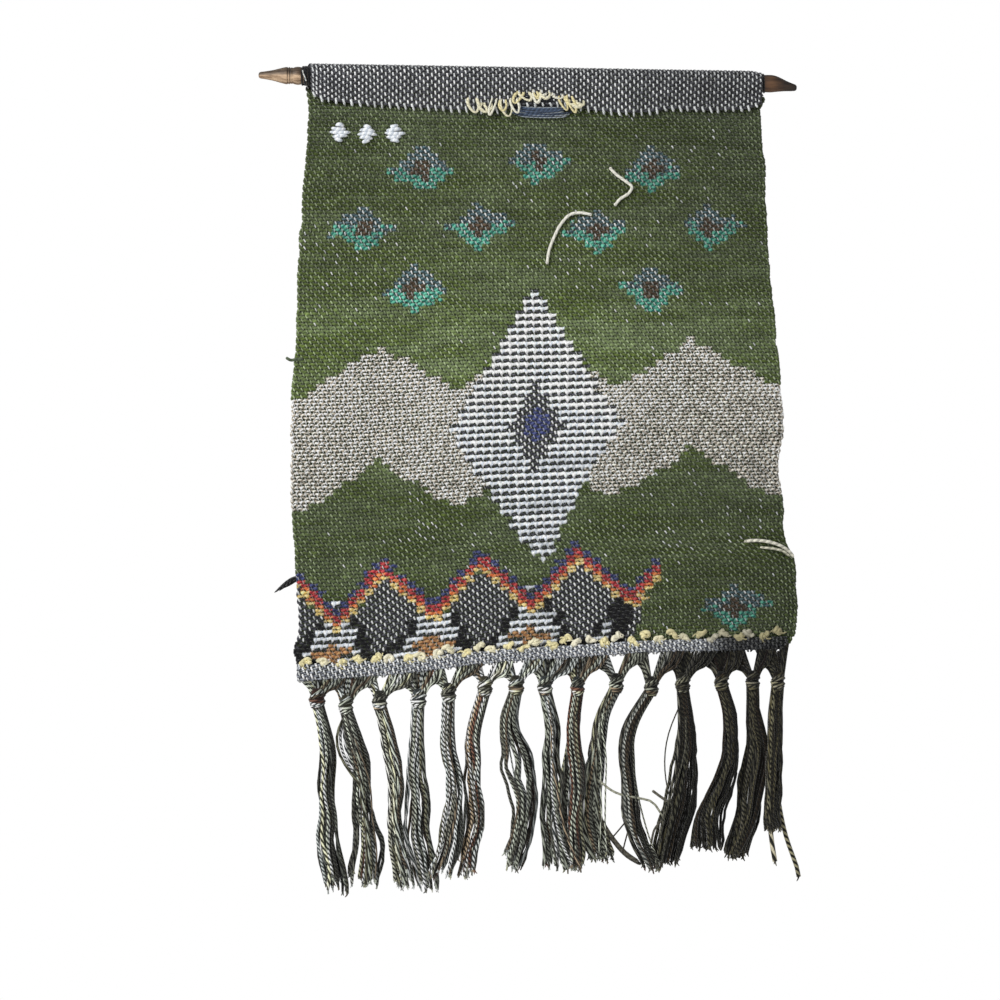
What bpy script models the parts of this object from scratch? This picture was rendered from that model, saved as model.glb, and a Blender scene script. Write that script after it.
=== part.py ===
"""Woven wool tapestry on a hanging rod.

The cloth hangs from a turned wooden rod. Its top is folded over the rod to the front as a
casing, and its bottom is folded up to the front as a narrow hem, with a row of knotted warp
ends along it. Fifteen yarn tassels, each tied from two half bundles, hang from the hem.

Frame: X to the right, Z up, and the front faces -Y. The origin is on the rod's axis, halfway
along the rod. Sizes in the tables and constants are millimetres; MM turns them into metres.
"""
import math
from collections import namedtuple

import bmesh
import bpy
from mathutils import Vector

MM = 0.001

# ---- rod ----
ROD_RADIUS = 7.0
ROD_SIDES = 16
RodRing = namedtuple("RodRing", "x radius")
ROD_PROFILE = [
    RodRing(-215.0, 1.4), RodRing(-214.2, 2.5), RodRing(-203.0, 4.6), RodRing(-192.0, 6.7),
    RodRing(-191.0, 6.7), RodRing(-190.4, 6.2), RodRing(-189.8, 6.8), RodRing(-188.2, 6.9),
    RodRing(-187.2, 6.1), RodRing(-185.6, 7.0), RodRing(-183.4, 7.4), RodRing(-181.2, 7.1),
    RodRing(-179.6, 6.4), RodRing(-178.4, ROD_RADIUS), RodRing(188.0, ROD_RADIUS),
    RodRing(188.8, 6.4), RodRing(189.6, 6.9), RodRing(194.0, 6.9), RodRing(205.0, 4.7),
    RodRing(214.4, 2.6), RodRing(215.2, 1.6),
]

# ---- cloth ----
CLOTH_THICKNESS = 2.6
LAYER_GAP = 0.5
ROD_GAP = 0.4
COLUMNS = 26
CASING_RADIUS = ROD_RADIUS + ROD_GAP + CLOTH_THICKNESS / 2
FLAP_STANDOFF = CLOTH_THICKNESS + LAYER_GAP + 0.3
CASING_LEFT = -174.0
CASING_RIGHT = 187.0
CASING_BACK_LEFT = -178.5
WALL_CONTACT = 4.0
PANEL_START = 26.0
FOLD_RADIUS = (CLOTH_THICKNESS + LAYER_GAP) / 2

# Side edges of the hanging panel, by drop below the rod's axis.
OutlineRow = namedtuple("OutlineRow", "drop left right")
OUTLINE = [
    OutlineRow(4, -178.5, 187.0), OutlineRow(24, -174.8, 186.0), OutlineRow(60, -176.0, 190.0),
    OutlineRow(100, -178.0, 192.5), OutlineRow(150, -181.0, 196.5), OutlineRow(200, -181.5, 202.0),
    OutlineRow(255, -184.5, 207.5), OutlineRow(280, -185.0, 209.0), OutlineRow(303, -184.5, 205.5),
    OutlineRow(335, -183.5, 210.0), OutlineRow(362, -181.5, 211.5), OutlineRow(382, -180.0, 220.5),
    OutlineRow(402, -178.5, 223.0), OutlineRow(438, -176.0, 222.5), OutlineRow(452, -177.5, 216.5),
    OutlineRow(466, -178.0, 212.5), OutlineRow(490, -176.0, 212.0),
]

# Lower edge of the front flap of the casing, from left (0) to right (1).
FlapRow = namedtuple("FlapRow", "across drop")
FLAP_EDGE = [
    FlapRow(0.0, 18.5), FlapRow(0.22, 24.0), FlapRow(0.5, 26.0), FlapRow(0.78, 25.0),
    FlapRow(1.0, 19.0),
]

# Bottom fold of the cloth, and how far the hem is turned up.
BottomRow = namedtuple("BottomRow", "x drop hem")
BOTTOM_EDGE = [
    BottomRow(-178, 485.0, 14.0), BottomRow(-126, 481.5, 14.0), BottomRow(-78, 475.5, 12.5),
    BottomRow(-30, 469.0, 11.0), BottomRow(34, 463.0, 10.5), BottomRow(98, 458.0, 10.5),
    BottomRow(146, 455.5, 10.5), BottomRow(213, 453.0, 11.0),
]

# The lower right edge curls back, and both edges lean a little forward above it.
EdgeRow = namedtuple("EdgeRow", "drop left_back right_back")
EDGE_CURL = [
    EdgeRow(26, 0.0, 0.0), EdgeRow(120, -1.2, 1.0), EdgeRow(250, 1.5, -1.5),
    EdgeRow(350, -1.0, 0.5), EdgeRow(385, -1.5, 5.5), EdgeRow(420, 0.5, 7.0),
    EdgeRow(445, 1.5, 5.0), EdgeRow(485, 0.0, 1.0),
]
EDGE_CURL_WIDTH = 34.0
RIPPLE_HEIGHT = 1.5
RIPPLE_LENGTH = 118.0

# ---- knotted warp ends along the hem ----
WARP_KNOTS = 27
KNOT_FIRST_X = -170.0
KNOT_LAST_X = 205.0
KNOT_HALF_SIZE = Vector((4.6, 3.0, 3.5))
KNOT_STANDS_OUT = 0.8

# ---- tassels ----
# x and drop place the knot. legs gives where its two half bundles leave the hem. dx_1 to dx_5
# move the bundle's middle, and w_1 to w_5 are its half width, at each fifth of its length.
Tassel = namedtuple(
    "Tassel", "x drop length left_leg right_leg dx_1 dx_2 dx_3 dx_4 dx_5 w_1 w_2 w_3 w_4 w_5 girth")
TASSELS = [
    Tassel(-160, 497, 156, -170.0, -147.2, 8, 9, 10, 13, 17, 6.5, 7.0, 7.5, 8.5, 10.5, 1.1),
    Tassel(-137, 502, 145, -140.2, -121.5, 8, 14, 16, 19, 18, 8.0, 8.0, 8.5, 13.0, 13.0, 0.95),
    Tassel(-110, 498, 149, -114.5, -91.0, 8, 13, 15, 17, 23, 6.8, 7.0, 6.5, 6.5, 7.5, 1.0),
    Tassel(-79, 496, 157, -84.0, -69.0, -1, -1, 0, 4, 11, 6.5, 9.0, 10.0, 11.0, 7.5, 1.05),
    Tassel(-55, 491, 147, -62.0, -37.5, 0, 4, 8, 4, -3, 6.2, 7.0, 8.5, 10.0, 11.0, 1.0),
    Tassel(-26, 485, 154, -30.5, -13.8, -8, -9, -6, -8, -15, 6.2, 6.2, 6.5, 7.0, 6.2, 1.0),
    Tassel(-1, 484, 147, -6.8, 10.2, -5, 2, 7, 6, -4, 9.0, 14.0, 11.5, 9.0, 9.0, 1.05),
    Tassel(22, 484, 147, 17.2, 39.0, 6, 6, 9, 11, 16, 6.8, 7.0, 10.0, 12.0, 15.0, 1.0),
    Tassel(48, 484, 146, 46.0, 62.2, -3, 1, 1, 1, 2, 6.2, 7.0, 6.3, 6.3, 6.5, 0.92),
    Tassel(79, 481, 142, 69.2, 93.5, -12, -14, -17, -16, -10, 6.3, 6.3, 6.3, 7.0, 10.5, 0.95),
    Tassel(107, 483, 147, 100.5, 123.0, -16, -19, -16, -10, 3, 6.3, 6.5, 6.5, 6.5, 8.0, 0.95),
    Tassel(132, 480, 146, 130.0, 148.5, 3, 4, 0, -6, -11, 7.6, 10.0, 12.5, 12.5, 9.0, 1.0),
    Tassel(163, 478, 134, 155.5, 170.1, 7, 8, 1, -7, -8, 6.2, 6.5, 10.0, 11.0, 11.0, 0.95),
    Tassel(188, 477, 142, 177.1, 193.3, 1, 2, -2, -5, -12, 6.2, 8.5, 9.5, 11.5, 10.5, 0.92),
    Tassel(208, 477, 148, 200.3, 208.5, -2, -2, -4, -2, 2, 6.3, 7.0, 6.5, 6.3, 6.5, 0.92),
]
HEM_CLEARANCE = 0.4
HEAD_Y = -FOLD_RADIUS
HEAD_SIDES = 8
HeadRing = namedtuple("HeadRing", "rise radius")
HEAD_RINGS = [
    HeadRing(8.0, 3.4), HeadRing(5.0, 5.6), HeadRing(1.5, 6.3), HeadRing(-2.5, 6.2),
    HeadRing(-6.0, 6.0), HeadRing(-8.5, 4.9),
]
HEAD_DEPTH = 0.95
HEAD_RIDGE = 0.09
HEAD_RIDGE_TURN = 0.75
LEG_SIDES = 5
LEG_STEPS = 3
LEG_ROOT_RISE = 4.0
LEG_ROOT_OFFSET = 3.0
LEG_ROOT_HALF = 2.7
LEG_TOP_HALF = Vector((3.2, 2.7))
STRAND_RADIUS = 1.35
STRAND_SIDES = 3
STRAND_STEPS = 7
STRAND_ROOT_DROP = 3.0
STRAND_ROOT_WIDTH = 5.4
Station = namedtuple("Station", "t move width")
StrandLayer = namedtuple("StrandLayer", "depth count")
STRAND_LAYERS = [StrandLayer(-2.6, 3), StrandLayer(0.0, 4), StrandLayer(2.6, 3)]
FAN_SHIFT = 4.6
TIP_UNEVENNESS = 0.07

# ---- loose yarn on the face of the cloth ----
YARN_RADIUS = 1.2
YARN_POINTS = 11
RoutePoint = namedtuple("RoutePoint", "x drop")
YARN_TAILS = {
    "yarn_tail_long": [
        RoutePoint(53.0, 107.5), RoutePoint(43.5, 106.0), RoutePoint(35.0, 108.0),
        RoutePoint(28.0, 116.0), RoutePoint(23.5, 125.0), RoutePoint(19.5, 136.0),
        RoutePoint(17.8, 147.5),
    ],
    "yarn_tail_short": [
        RoutePoint(66.5, 69.5), RoutePoint(72.0, 75.0), RoutePoint(79.0, 80.0),
        RoutePoint(84.5, 84.5), RoutePoint(82.0, 90.0), RoutePoint(75.5, 94.5),
        RoutePoint(71.0, 100.0),
    ],
}

# ---- roving end that sticks out at the lower left edge ----
TUFT_RINGS_COUNT = 6
TUFT_SIDES = 7
TUFT_START = Vector((-179.1, 0.0, -402.5))
TUFT_REACH = Vector((-16.5, -2.0, -11.0))
TUFT_RADIUS = 3.6

# ---- colours (linear RGB) and surface values ----
Finish = namedtuple("Finish", "color roughness")
FINISHES = {
    "woven_wool": Finish((0.085, 0.115, 0.030), 0.95),
    "fringe_yarn": Finish((0.100, 0.098, 0.072), 0.90),
    "white_yarn": Finish((0.780, 0.770, 0.700), 0.90),
    "charcoal_roving": Finish((0.012, 0.012, 0.015), 1.00),
    "turned_wood": Finish((0.330, 0.180, 0.095), 0.55),
}


def interpolate(rows, at, column):
    """Smooth value of a column at a place in the table's first column."""
    places = [row[0] for row in rows]
    values = [getattr(row, column) for row in rows]
    if at <= places[0]:
        return values[0]
    if at >= places[-1]:
        return values[-1]
    i = max(k for k in range(len(places) - 1) if places[k] <= at)

    def slope(k):
        low, high = max(k - 1, 0), min(k + 1, len(places) - 1)
        return (values[high] - values[low]) / (places[high] - places[low])

    span = places[i + 1] - places[i]
    t = (at - places[i]) / span
    return (values[i] * (1 + 2 * t) * (1 - t) ** 2 + values[i + 1] * t * t * (3 - 2 * t)
            + span * (slope(i) * t * (1 - t) ** 2 - slope(i + 1) * t * t * (1 - t)))


def ease(t):
    """Smooth step from 0 to 1."""
    t = min(max(t, 0.0), 1.0)
    return t * t * (3 - 2 * t)


def unevenness(k):
    """A fixed number between -1 and 1 for each whole number k."""
    return math.sin(k * 12.9898 + 4.1) * 0.6 + math.sin(k * 4.733 + 1.7) * 0.4


def material(name):
    """The Principled material of one finish."""
    made = bpy.data.materials.new(name)
    made.use_nodes = True
    shader = made.node_tree.nodes["Principled BSDF"]
    shader.inputs["Base Color"].default_value = (*FINISHES[name].color, 1.0)
    shader.inputs["Roughness"].default_value = FINISHES[name].roughness
    shader.inputs["Metallic"].default_value = 0.0
    return made


def add_object(name, mesh, finish):
    """Link a mesh as an object with its finish, smooth but for its sharp edges."""
    mesh.materials.clear()
    mesh.materials.append(finish)
    mesh.shade_smooth()
    mesh.set_sharp_from_angle(angle=math.radians(50))
    made = bpy.data.objects.new(name, mesh)
    bpy.context.scene.collection.objects.link(made)
    return made


def mesh_from(bm, name):
    """Turn a closed bmesh, built in millimetres, into a mesh in metres."""
    bmesh.ops.recalc_face_normals(bm, faces=bm.faces)
    bmesh.ops.scale(bm, vec=Vector((MM, MM, MM)), verts=bm.verts)
    mesh = bpy.data.meshes.new(name)
    bm.to_mesh(mesh)
    bm.free()
    return mesh


def skin(bm, rings):
    """Close a shell over a row of rings of points, with a flat cap at each end."""
    loops = [[bm.verts.new(point) for point in ring] for ring in rings]
    sides = len(loops[0])
    for low, high in zip(loops, loops[1:]):
        for k in range(sides):
            n = (k + 1) % sides
            bm.faces.new((low[k], low[n], high[n], high[k]))
    bm.faces.new(loops[0])
    bm.faces.new(loops[-1])


def ring_about(centre, across, forward, sides, turn=0.0):
    """Points round a centre, in the plane of two half-size vectors."""
    angles = [turn + math.tau * k / sides for k in range(sides)]
    return [centre + across * math.cos(a) + forward * math.sin(a) for a in angles]


def fused(name, base, added):
    """The one closed mesh that an exact Boolean union makes of two meshes."""
    keep = bpy.data.objects.new(name + "_base", base)
    tool = bpy.data.objects.new(name + "_added", added)
    for made in (keep, tool):
        bpy.context.scene.collection.objects.link(made)
    union = keep.modifiers.new("union", "BOOLEAN")
    union.operation = "UNION"
    union.solver = "EXACT"
    union.object = tool
    graph = bpy.context.evaluated_depsgraph_get()
    mesh = bpy.data.meshes.new_from_object(keep.evaluated_get(graph))
    mesh.name = name
    for made in (keep, tool):
        bpy.data.objects.remove(made)
    return mesh


# ---- the cloth's surface ----
def relief(x, drop):
    """How far back (+Y) the middle of the hanging cloth lies."""
    loose = ease((drop - PANEL_START) / 160)
    ripple = RIPPLE_HEIGHT * loose * math.sin(math.tau * x / RIPPLE_LENGTH + drop / 210)
    left = interpolate(OUTLINE, drop, "left")
    right = interpolate(OUTLINE, drop, "right")
    near_left = ease(1 - (x - left) / EDGE_CURL_WIDTH)
    near_right = ease(1 - (right - x) / EDGE_CURL_WIDTH)
    return (ripple + near_left * interpolate(EDGE_CURL, drop, "left_back")
            + near_right * interpolate(EDGE_CURL, drop, "right_back"))


def side_to_side(across, drop):
    """X at a share of the width, from the left edge (0) to the right edge (1)."""
    left = interpolate(OUTLINE, drop, "left")
    return left + (interpolate(OUTLINE, drop, "right") - left) * across


def bottom_x(across):
    """X at the bottom fold for a share of the width."""
    left, right = BOTTOM_EDGE[0], BOTTOM_EDGE[-1]
    return side_to_side(across, left.drop + (right.drop - left.drop) * across)


def cloth_runs(across):
    """The cloth's middle line down one column, as (steps, function of t) runs.

    Each function gives (x, y, z) for t from 0 to 1. The runs go from the flap's lower edge over
    the rod, down the back, round the bottom fold and up the hem.
    """
    flap = interpolate(FLAP_EDGE, across, "drop")
    casing_x = CASING_LEFT + (CASING_RIGHT - CASING_LEFT) * across
    back_x = CASING_BACK_LEFT + (CASING_RIGHT - CASING_BACK_LEFT) * across
    low_x = bottom_x(across)
    fold_drop = interpolate(BOTTOM_EDGE, low_x, "drop") - CLOTH_THICKNESS / 2 - FOLD_RADIUS
    fold_y = relief(low_x, fold_drop)
    hem_top = fold_drop - interpolate(BOTTOM_EDGE, low_x, "hem") + FOLD_RADIUS + CLOTH_THICKNESS / 2

    def front_flap(t):
        y = -FLAP_STANDOFF - (CASING_RADIUS - FLAP_STANDOFF) * ease(t)
        return casing_x, y, -flap * (1 - t)

    def over_rod(t):
        angle = math.pi * (1 - t)
        x = casing_x + (back_x - casing_x) * ease(t)
        return x, CASING_RADIUS * math.cos(angle), CASING_RADIUS * math.sin(angle)

    def against_wall(t):
        return back_x, CASING_RADIUS, -WALL_CONTACT * t

    def behind_rod(t):
        drop = WALL_CONTACT + (PANEL_START - WALL_CONTACT) * t
        return side_to_side(across, drop), CASING_RADIUS * (1 - ease(t)), -drop

    def panel(t):
        drop = PANEL_START + (fold_drop - PANEL_START) * t
        x = side_to_side(across, drop)
        return x, relief(x, drop), -drop

    def bottom_fold(t):
        angle = math.pi * t
        y = fold_y - FOLD_RADIUS + FOLD_RADIUS * math.cos(angle)
        return low_x, y, -fold_drop - FOLD_RADIUS * math.sin(angle)

    def hem(t):
        drop = fold_drop + (hem_top - fold_drop) * t
        return low_x, relief(low_x, drop) - 2 * FOLD_RADIUS, -drop

    return [(2, front_flap), (8, over_rod), (1, against_wall), (2, behind_rod), (18, panel),
            (4, bottom_fold), (1, hem)]


def cloth_column(across):
    """Points of one column on the cloth's outer and inner faces.

    The outer face is the visible one on the flap and the hem, and the back of the panel.
    """
    outer, inner = [], []
    runs = cloth_runs(across)
    for number, (steps, run) in enumerate(runs):
        first = 0 if number == 0 else 1
        for k in range(first, steps + 1):
            t = k / steps
            ahead = run(min(t + 0.001, 1.0))
            behind = run(max(t - 0.001, 0.0))
            along = Vector((0, ahead[1] - behind[1], ahead[2] - behind[2])).normalized()
            outward = Vector((0, -along.z, along.y)) * (CLOTH_THICKNESS / 2)
            middle = Vector(run(t))
            outer.append(middle + outward)
            inner.append(middle - outward)
    return outer, inner


def cloth_mesh():
    """The folded cloth as one closed sheet of even thickness."""
    bm = bmesh.new()
    columns = [cloth_column(k / COLUMNS) for k in range(COLUMNS + 1)]
    outer = [[bm.verts.new(point) for point in column[0]] for column in columns]
    inner = [[bm.verts.new(point) for point in column[1]] for column in columns]
    rows = len(outer[0])
    for k in range(COLUMNS):
        for r in range(rows - 1):
            bm.faces.new((outer[k][r], outer[k][r + 1], outer[k + 1][r + 1], outer[k + 1][r]))
            bm.faces.new((inner[k][r], inner[k + 1][r], inner[k + 1][r + 1], inner[k][r + 1]))
        for r in (0, rows - 1):
            bm.faces.new((outer[k][r], outer[k + 1][r], inner[k + 1][r], inner[k][r]))
    for k in (0, COLUMNS):
        for r in range(rows - 1):
            bm.faces.new((outer[k][r], inner[k][r], inner[k][r + 1], outer[k][r + 1]))
    return mesh_from(bm, "cloth")


def warp_knots_mesh():
    """The knotted warp ends, as lumps half sunk in the cloth above the hem."""
    bm = bmesh.new()
    for k in range(WARP_KNOTS):
        x = KNOT_FIRST_X + (KNOT_LAST_X - KNOT_FIRST_X) * k / (WARP_KNOTS - 1)
        x += 1.6 * unevenness(k)
        hem_top = interpolate(BOTTOM_EDGE, x, "drop") - interpolate(BOTTOM_EDGE, x, "hem")
        drop = hem_top - 1.6 - 1.4 * unevenness(k + 40)
        y = relief(x, drop) - CLOTH_THICKNESS / 2 - KNOT_HALF_SIZE.y * KNOT_STANDS_OUT
        lump = bmesh.ops.create_icosphere(bm, subdivisions=1, radius=1.0)["verts"]
        tilt = 0.6 * unevenness(k + 80)
        for vert in lump:
            p = Vector([a * b for a, b in zip(vert.co, KNOT_HALF_SIZE)])
            turned = (p.x * math.cos(tilt) - p.z * math.sin(tilt),
                      p.x * math.sin(tilt) + p.z * math.cos(tilt))
            vert.co = Vector((x + turned[0], y + p.y, -drop + turned[1]))
    return mesh_from(bm, "warp_knots")


def tapestry(finish):
    """The cloth with its knotted warp ends, as one solid."""
    return add_object("tapestry", fused("tapestry", cloth_mesh(), warp_knots_mesh()), finish)


# ---- the other pieces ----
def rod(finish):
    """The turned rod with its pointed ends."""
    bm = bmesh.new()
    skin(bm, [ring_about(Vector((ring.x, 0, 0)), Vector((0, ring.radius, 0)),
                         Vector((0, 0, ring.radius)), ROD_SIDES) for ring in ROD_PROFILE])
    return add_object("rod", mesh_from(bm, "rod"), finish)


def tassel_head(row):
    """The knot that ties two half bundles, with the slanting ridge of its wrap."""
    bm = bmesh.new()
    rings = []
    for ring in HEAD_RINGS:
        points = []
        for k in range(HEAD_SIDES):
            angle = math.tau * k / HEAD_SIDES
            ridge = 1 + HEAD_RIDGE * math.sin(angle + HEAD_RIDGE_TURN * ring.rise)
            reach = ring.radius * row.girth * ridge
            points.append(Vector((row.x + reach * math.cos(angle),
                                  HEAD_Y + reach * HEAD_DEPTH * math.sin(angle),
                                  ring.rise - row.drop)))
        rings.append(points)
    skin(bm, rings)
    return mesh_from(bm, "head")


def add_leg(bm, row, side, hem_x):
    """One half bundle, from inside the knot up to just under the hem."""
    start_x = row.x + side * LEG_ROOT_OFFSET * row.girth
    start_z = LEG_ROOT_RISE - row.drop
    top_z = -interpolate(BOTTOM_EDGE, hem_x, "drop") - HEM_CLEARANCE
    rings = []
    for k in range(LEG_STEPS + 1):
        t = k / LEG_STEPS
        x = start_x + (hem_x - start_x) * ease(t * 0.9 + 0.1 * t * t)
        z = start_z + (top_z - start_z) * t
        half_x = LEG_ROOT_HALF * row.girth * (1 - t) + LEG_TOP_HALF.x * t
        half_y = LEG_ROOT_HALF * (1 - t) + LEG_TOP_HALF.y * t
        ring = ring_about(Vector((x, HEAD_Y, z)), Vector((half_x, 0, 0)), Vector((0, half_y, 0)),
                          LEG_SIDES, turn=math.pi / 2)
        if k == LEG_STEPS:
            for point in ring:
                point.z = -interpolate(BOTTOM_EDGE, point.x, "drop") - HEM_CLEARANCE
        rings.append(ring)
    skin(bm, rings)


def add_strands(bm, number, row):
    """The strands below the knot, in three layers that fan out with the bundle."""
    moves = (0, row.dx_1, row.dx_2, row.dx_3, row.dx_4, row.dx_5)
    widths = (STRAND_ROOT_WIDTH, row.w_1, row.w_2, row.w_3, row.w_4, row.w_5)
    stations = [Station(k / (len(moves) - 1), move, width)
                for k, (move, width) in enumerate(zip(moves, widths))]
    widest = max(layer.count for layer in STRAND_LAYERS) - 1
    fan = FAN_SHIFT if number % 2 else -FAN_SHIFT
    count = 0
    for layer in STRAND_LAYERS:
        for k in range(layer.count):
            share = (2 * k + 1 - layer.count) / widest
            count += 1
            tip = 1 - TIP_UNEVENNESS * (1 + unevenness(number * 17 + count)) / 2
            rings = []
            for step in range(STRAND_STEPS + 1):
                t = step / STRAND_STEPS if step < STRAND_STEPS else tip
                reach = share * (interpolate(stations, t, "width") - STRAND_RADIUS)
                centre = Vector((
                    row.x + interpolate(stations, t, "move") + reach,
                    HEAD_Y + layer.depth - fan * ease(t * 2.2),
                    -row.drop - STRAND_ROOT_DROP - (row.length - STRAND_ROOT_DROP) * t))
                rings.append(ring_about(centre, Vector((STRAND_RADIUS, 0, 0)),
                                        Vector((0, STRAND_RADIUS, 0)), STRAND_SIDES,
                                        turn=-math.pi / 2))
            skin(bm, rings)


def tassel(number, row, finish):
    """One tassel: knot, two legs to the hem and the loose strands, as one solid."""
    bm = bmesh.new()
    add_leg(bm, row, -1, row.left_leg)
    add_leg(bm, row, 1, row.right_leg)
    add_strands(bm, number, row)
    name = f"tassel_{number:02d}"
    return add_object(name, fused(name, tassel_head(row), mesh_from(bm, "strands")), finish)


def smooth_route(points, count):
    """Evenly numbered points on a smooth curve through a route's own points."""
    route = []
    last = len(points) - 1
    for k in range(count):
        at = last * k / (count - 1)
        i = min(int(at), last - 1)
        t = at - i
        before, start = points[max(i - 1, 0)], points[i]
        end, after = points[i + 1], points[min(i + 2, last)]
        route.append(0.5 * (2 * start + (end - before) * t
                            + (2 * before - 5 * start + 4 * end - after) * t * t
                            + (3 * start - before - 3 * end + after) * t ** 3))
    return route


def yarn_tail(name, route, finish):
    """A loose yarn end that lies on the face of the cloth."""
    clear = CLOTH_THICKNESS / 2 + YARN_RADIUS + 0.5
    points = [Vector((p.x, relief(p.x, p.drop) - clear, -p.drop)) * MM for p in route]
    curve = bpy.data.curves.new(name, "CURVE")
    curve.dimensions = "3D"
    curve.bevel_depth = YARN_RADIUS * MM
    curve.bevel_resolution = 2
    curve.use_fill_caps = True
    curve.materials.append(finish)
    spline = curve.splines.new("POLY")
    smooth = smooth_route(points, YARN_POINTS)
    spline.points.add(len(smooth) - 1)
    for target, point in zip(spline.points, smooth):
        target.co = (*point, 1.0)
    made = bpy.data.objects.new(name, curve)
    bpy.context.scene.collection.objects.link(made)
    return made


def roving_tuft(finish):
    """The tapering end of thick roving that sticks out of the left edge."""
    bm = bmesh.new()
    rings = []
    for k in range(TUFT_RINGS_COUNT):
        t = k / (TUFT_RINGS_COUNT - 1)
        centre = TUFT_START + TUFT_REACH * t + Vector((0, 0, 4.0 * t * (1 - t)))
        radius = TUFT_RADIUS * (0.75 + 0.5 * t - 0.85 * t ** 3)
        rings.append(ring_about(centre, Vector((0, radius * 0.8, 0)), Vector((0, 0, radius)),
                                TUFT_SIDES))
    skin(bm, rings)
    return add_object("roving_tuft", mesh_from(bm, "roving_tuft"), finish)


def build():
    """Clear the scene and make every piece."""
    for old in list(bpy.data.objects):
        bpy.data.objects.remove(old)
    finishes = {name: material(name) for name in FINISHES}
    rod(finishes["turned_wood"])
    tapestry(finishes["woven_wool"])
    for number, row in enumerate(TASSELS, start=1):
        tassel(number, row, finishes["fringe_yarn"])
    for name, route in YARN_TAILS.items():
        yarn_tail(name, route, finishes["white_yarn"])
    roving_tuft(finishes["charcoal_roving"])


build()
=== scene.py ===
# The looks of a woven wool tapestry on a hanging rod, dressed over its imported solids.
#
# The cloth is made yarn by yarn: wefts that turn round its edges, crossed by warps. Its picture
# is a plain pattern of stepped diamonds and zigzags. Lengths in the tables and functions are
# millimetres, and MM turns them into metres. A drop is a distance below the rod's middle.
import math
from collections import namedtuple

import bpy
import numpy as np
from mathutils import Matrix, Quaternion, Vector


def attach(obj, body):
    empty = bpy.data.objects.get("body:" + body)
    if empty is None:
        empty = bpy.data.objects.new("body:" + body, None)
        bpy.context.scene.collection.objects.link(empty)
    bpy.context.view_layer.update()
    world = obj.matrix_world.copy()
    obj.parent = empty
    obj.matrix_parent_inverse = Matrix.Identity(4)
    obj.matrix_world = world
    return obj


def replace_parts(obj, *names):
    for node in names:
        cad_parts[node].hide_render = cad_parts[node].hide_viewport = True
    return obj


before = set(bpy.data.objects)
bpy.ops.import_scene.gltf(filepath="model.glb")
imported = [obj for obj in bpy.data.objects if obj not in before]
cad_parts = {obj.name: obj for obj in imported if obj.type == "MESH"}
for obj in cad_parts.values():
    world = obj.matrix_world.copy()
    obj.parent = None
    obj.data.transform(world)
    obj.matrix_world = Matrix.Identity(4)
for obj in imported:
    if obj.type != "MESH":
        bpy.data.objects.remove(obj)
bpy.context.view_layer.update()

MM = 0.001
BODY = "root"
RANDOM = np.random.default_rng(20)


def table(columns, *rows):
    """Rows with named columns."""
    row = namedtuple("Row", columns)
    return [row(*values) for values in rows]


# ---- camera, light and floor, in metres ----
CAMERA_DISTANCE = 2.4
CAMERA_LENS = 108.0
CAMERA_AIM = (-0.0165, 0.0, -0.3366)
CAMERA_ROLL = -0.96
LIGHTS = table(
    "name place size power", ("key", (-1.3, -1.5, 0.7), 0.9, 34), ("fill", (1.4, -1.8, -0.2), 1.4, 5),
    ("back", (-0.8, 1.8, 0.6), 1.4, 14))
LIGHT_AIM = (0, 0, -0.3)
FLOOR_LEVEL = -1.15
FLOOR_HALF = 2.0

# ---- loose yarn ends, along the same routes as their solids ----
YARN_RADIUS = 1.2
TAIL_CLEARANCE = 0.5
TAIL_STEPS = 44
TAIL_WHITE = np.array([0.90, 0.88, 0.78])
YARN_TAILS = {
    "yarn_tail_long": table(
        "x drop", (53.0, 107.5), (43.5, 106.0), (35.0, 108.0), (28.0, 116.0), (23.5, 125.0),
        (19.5, 136.0), (17.8, 147.5)),
    "yarn_tail_short": table(
        "x drop", (66.5, 69.5), (72.0, 75.0), (79.0, 80.0), (84.5, 84.5), (82.0, 90.0),
        (75.5, 94.5), (71.0, 100.0)),
}

# ---- the cloth's folds and outline ----
# They are the solid's own, but the casing's left end, the flap's edge and the outline near the
# hem are finer here.
ROD_RADIUS = 7.0
CLOTH_THICKNESS = 2.6
LAYER_GAP = 0.5
ROD_GAP = 0.4
CASING_RADIUS = ROD_RADIUS + ROD_GAP + CLOTH_THICKNESS / 2
FLAP_STANDOFF = CLOTH_THICKNESS + LAYER_GAP + 0.3
CASING_LEFT = -172.6
CASING_RIGHT = 187.0
CASING_BACK_LEFT = -178.5
WALL_CONTACT = 4.0
PANEL_START = 26.0
FOLD_RADIUS = (CLOTH_THICKNESS + LAYER_GAP) / 2
# Behind the rod's right end the edge juts out, most at this drop.
JUT = 4.5
JUT_DROP = 12.5
OUTLINE = table(
    "drop left right",
    (4, -178.5, 187.0), (24, -174.8, 186.0), (60, -176.0, 190.0), (100, -178.0, 192.5),
    (150, -181.0, 196.5), (200, -181.5, 202.0), (255, -184.5, 207.5), (280, -185.0, 209.0),
    (303, -184.5, 205.5), (335, -183.5, 210.0), (362, -181.5, 211.5), (382, -180.0, 220.5),
    (402, -178.5, 223.0), (438, -176.0, 222.5), (450, -176.5, 217.0), (459, -179.5, 213.5),
    (469, -177.0, 212.5), (490, -176.0, 212.0))
FLAP_EDGE = table(
    "across drop",
    (0.0, 14.0), (0.03, 19.0), (0.22, 24.0), (0.35, 25.5), (0.43, 25.0), (0.47, 20.5),
    (0.55, 20.0), (0.61, 23.0), (0.69, 25.6), (0.75, 24.6), (0.80, 21.6), (0.87, 22.4),
    (0.97, 20.6), (1.0, 16.5))
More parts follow.
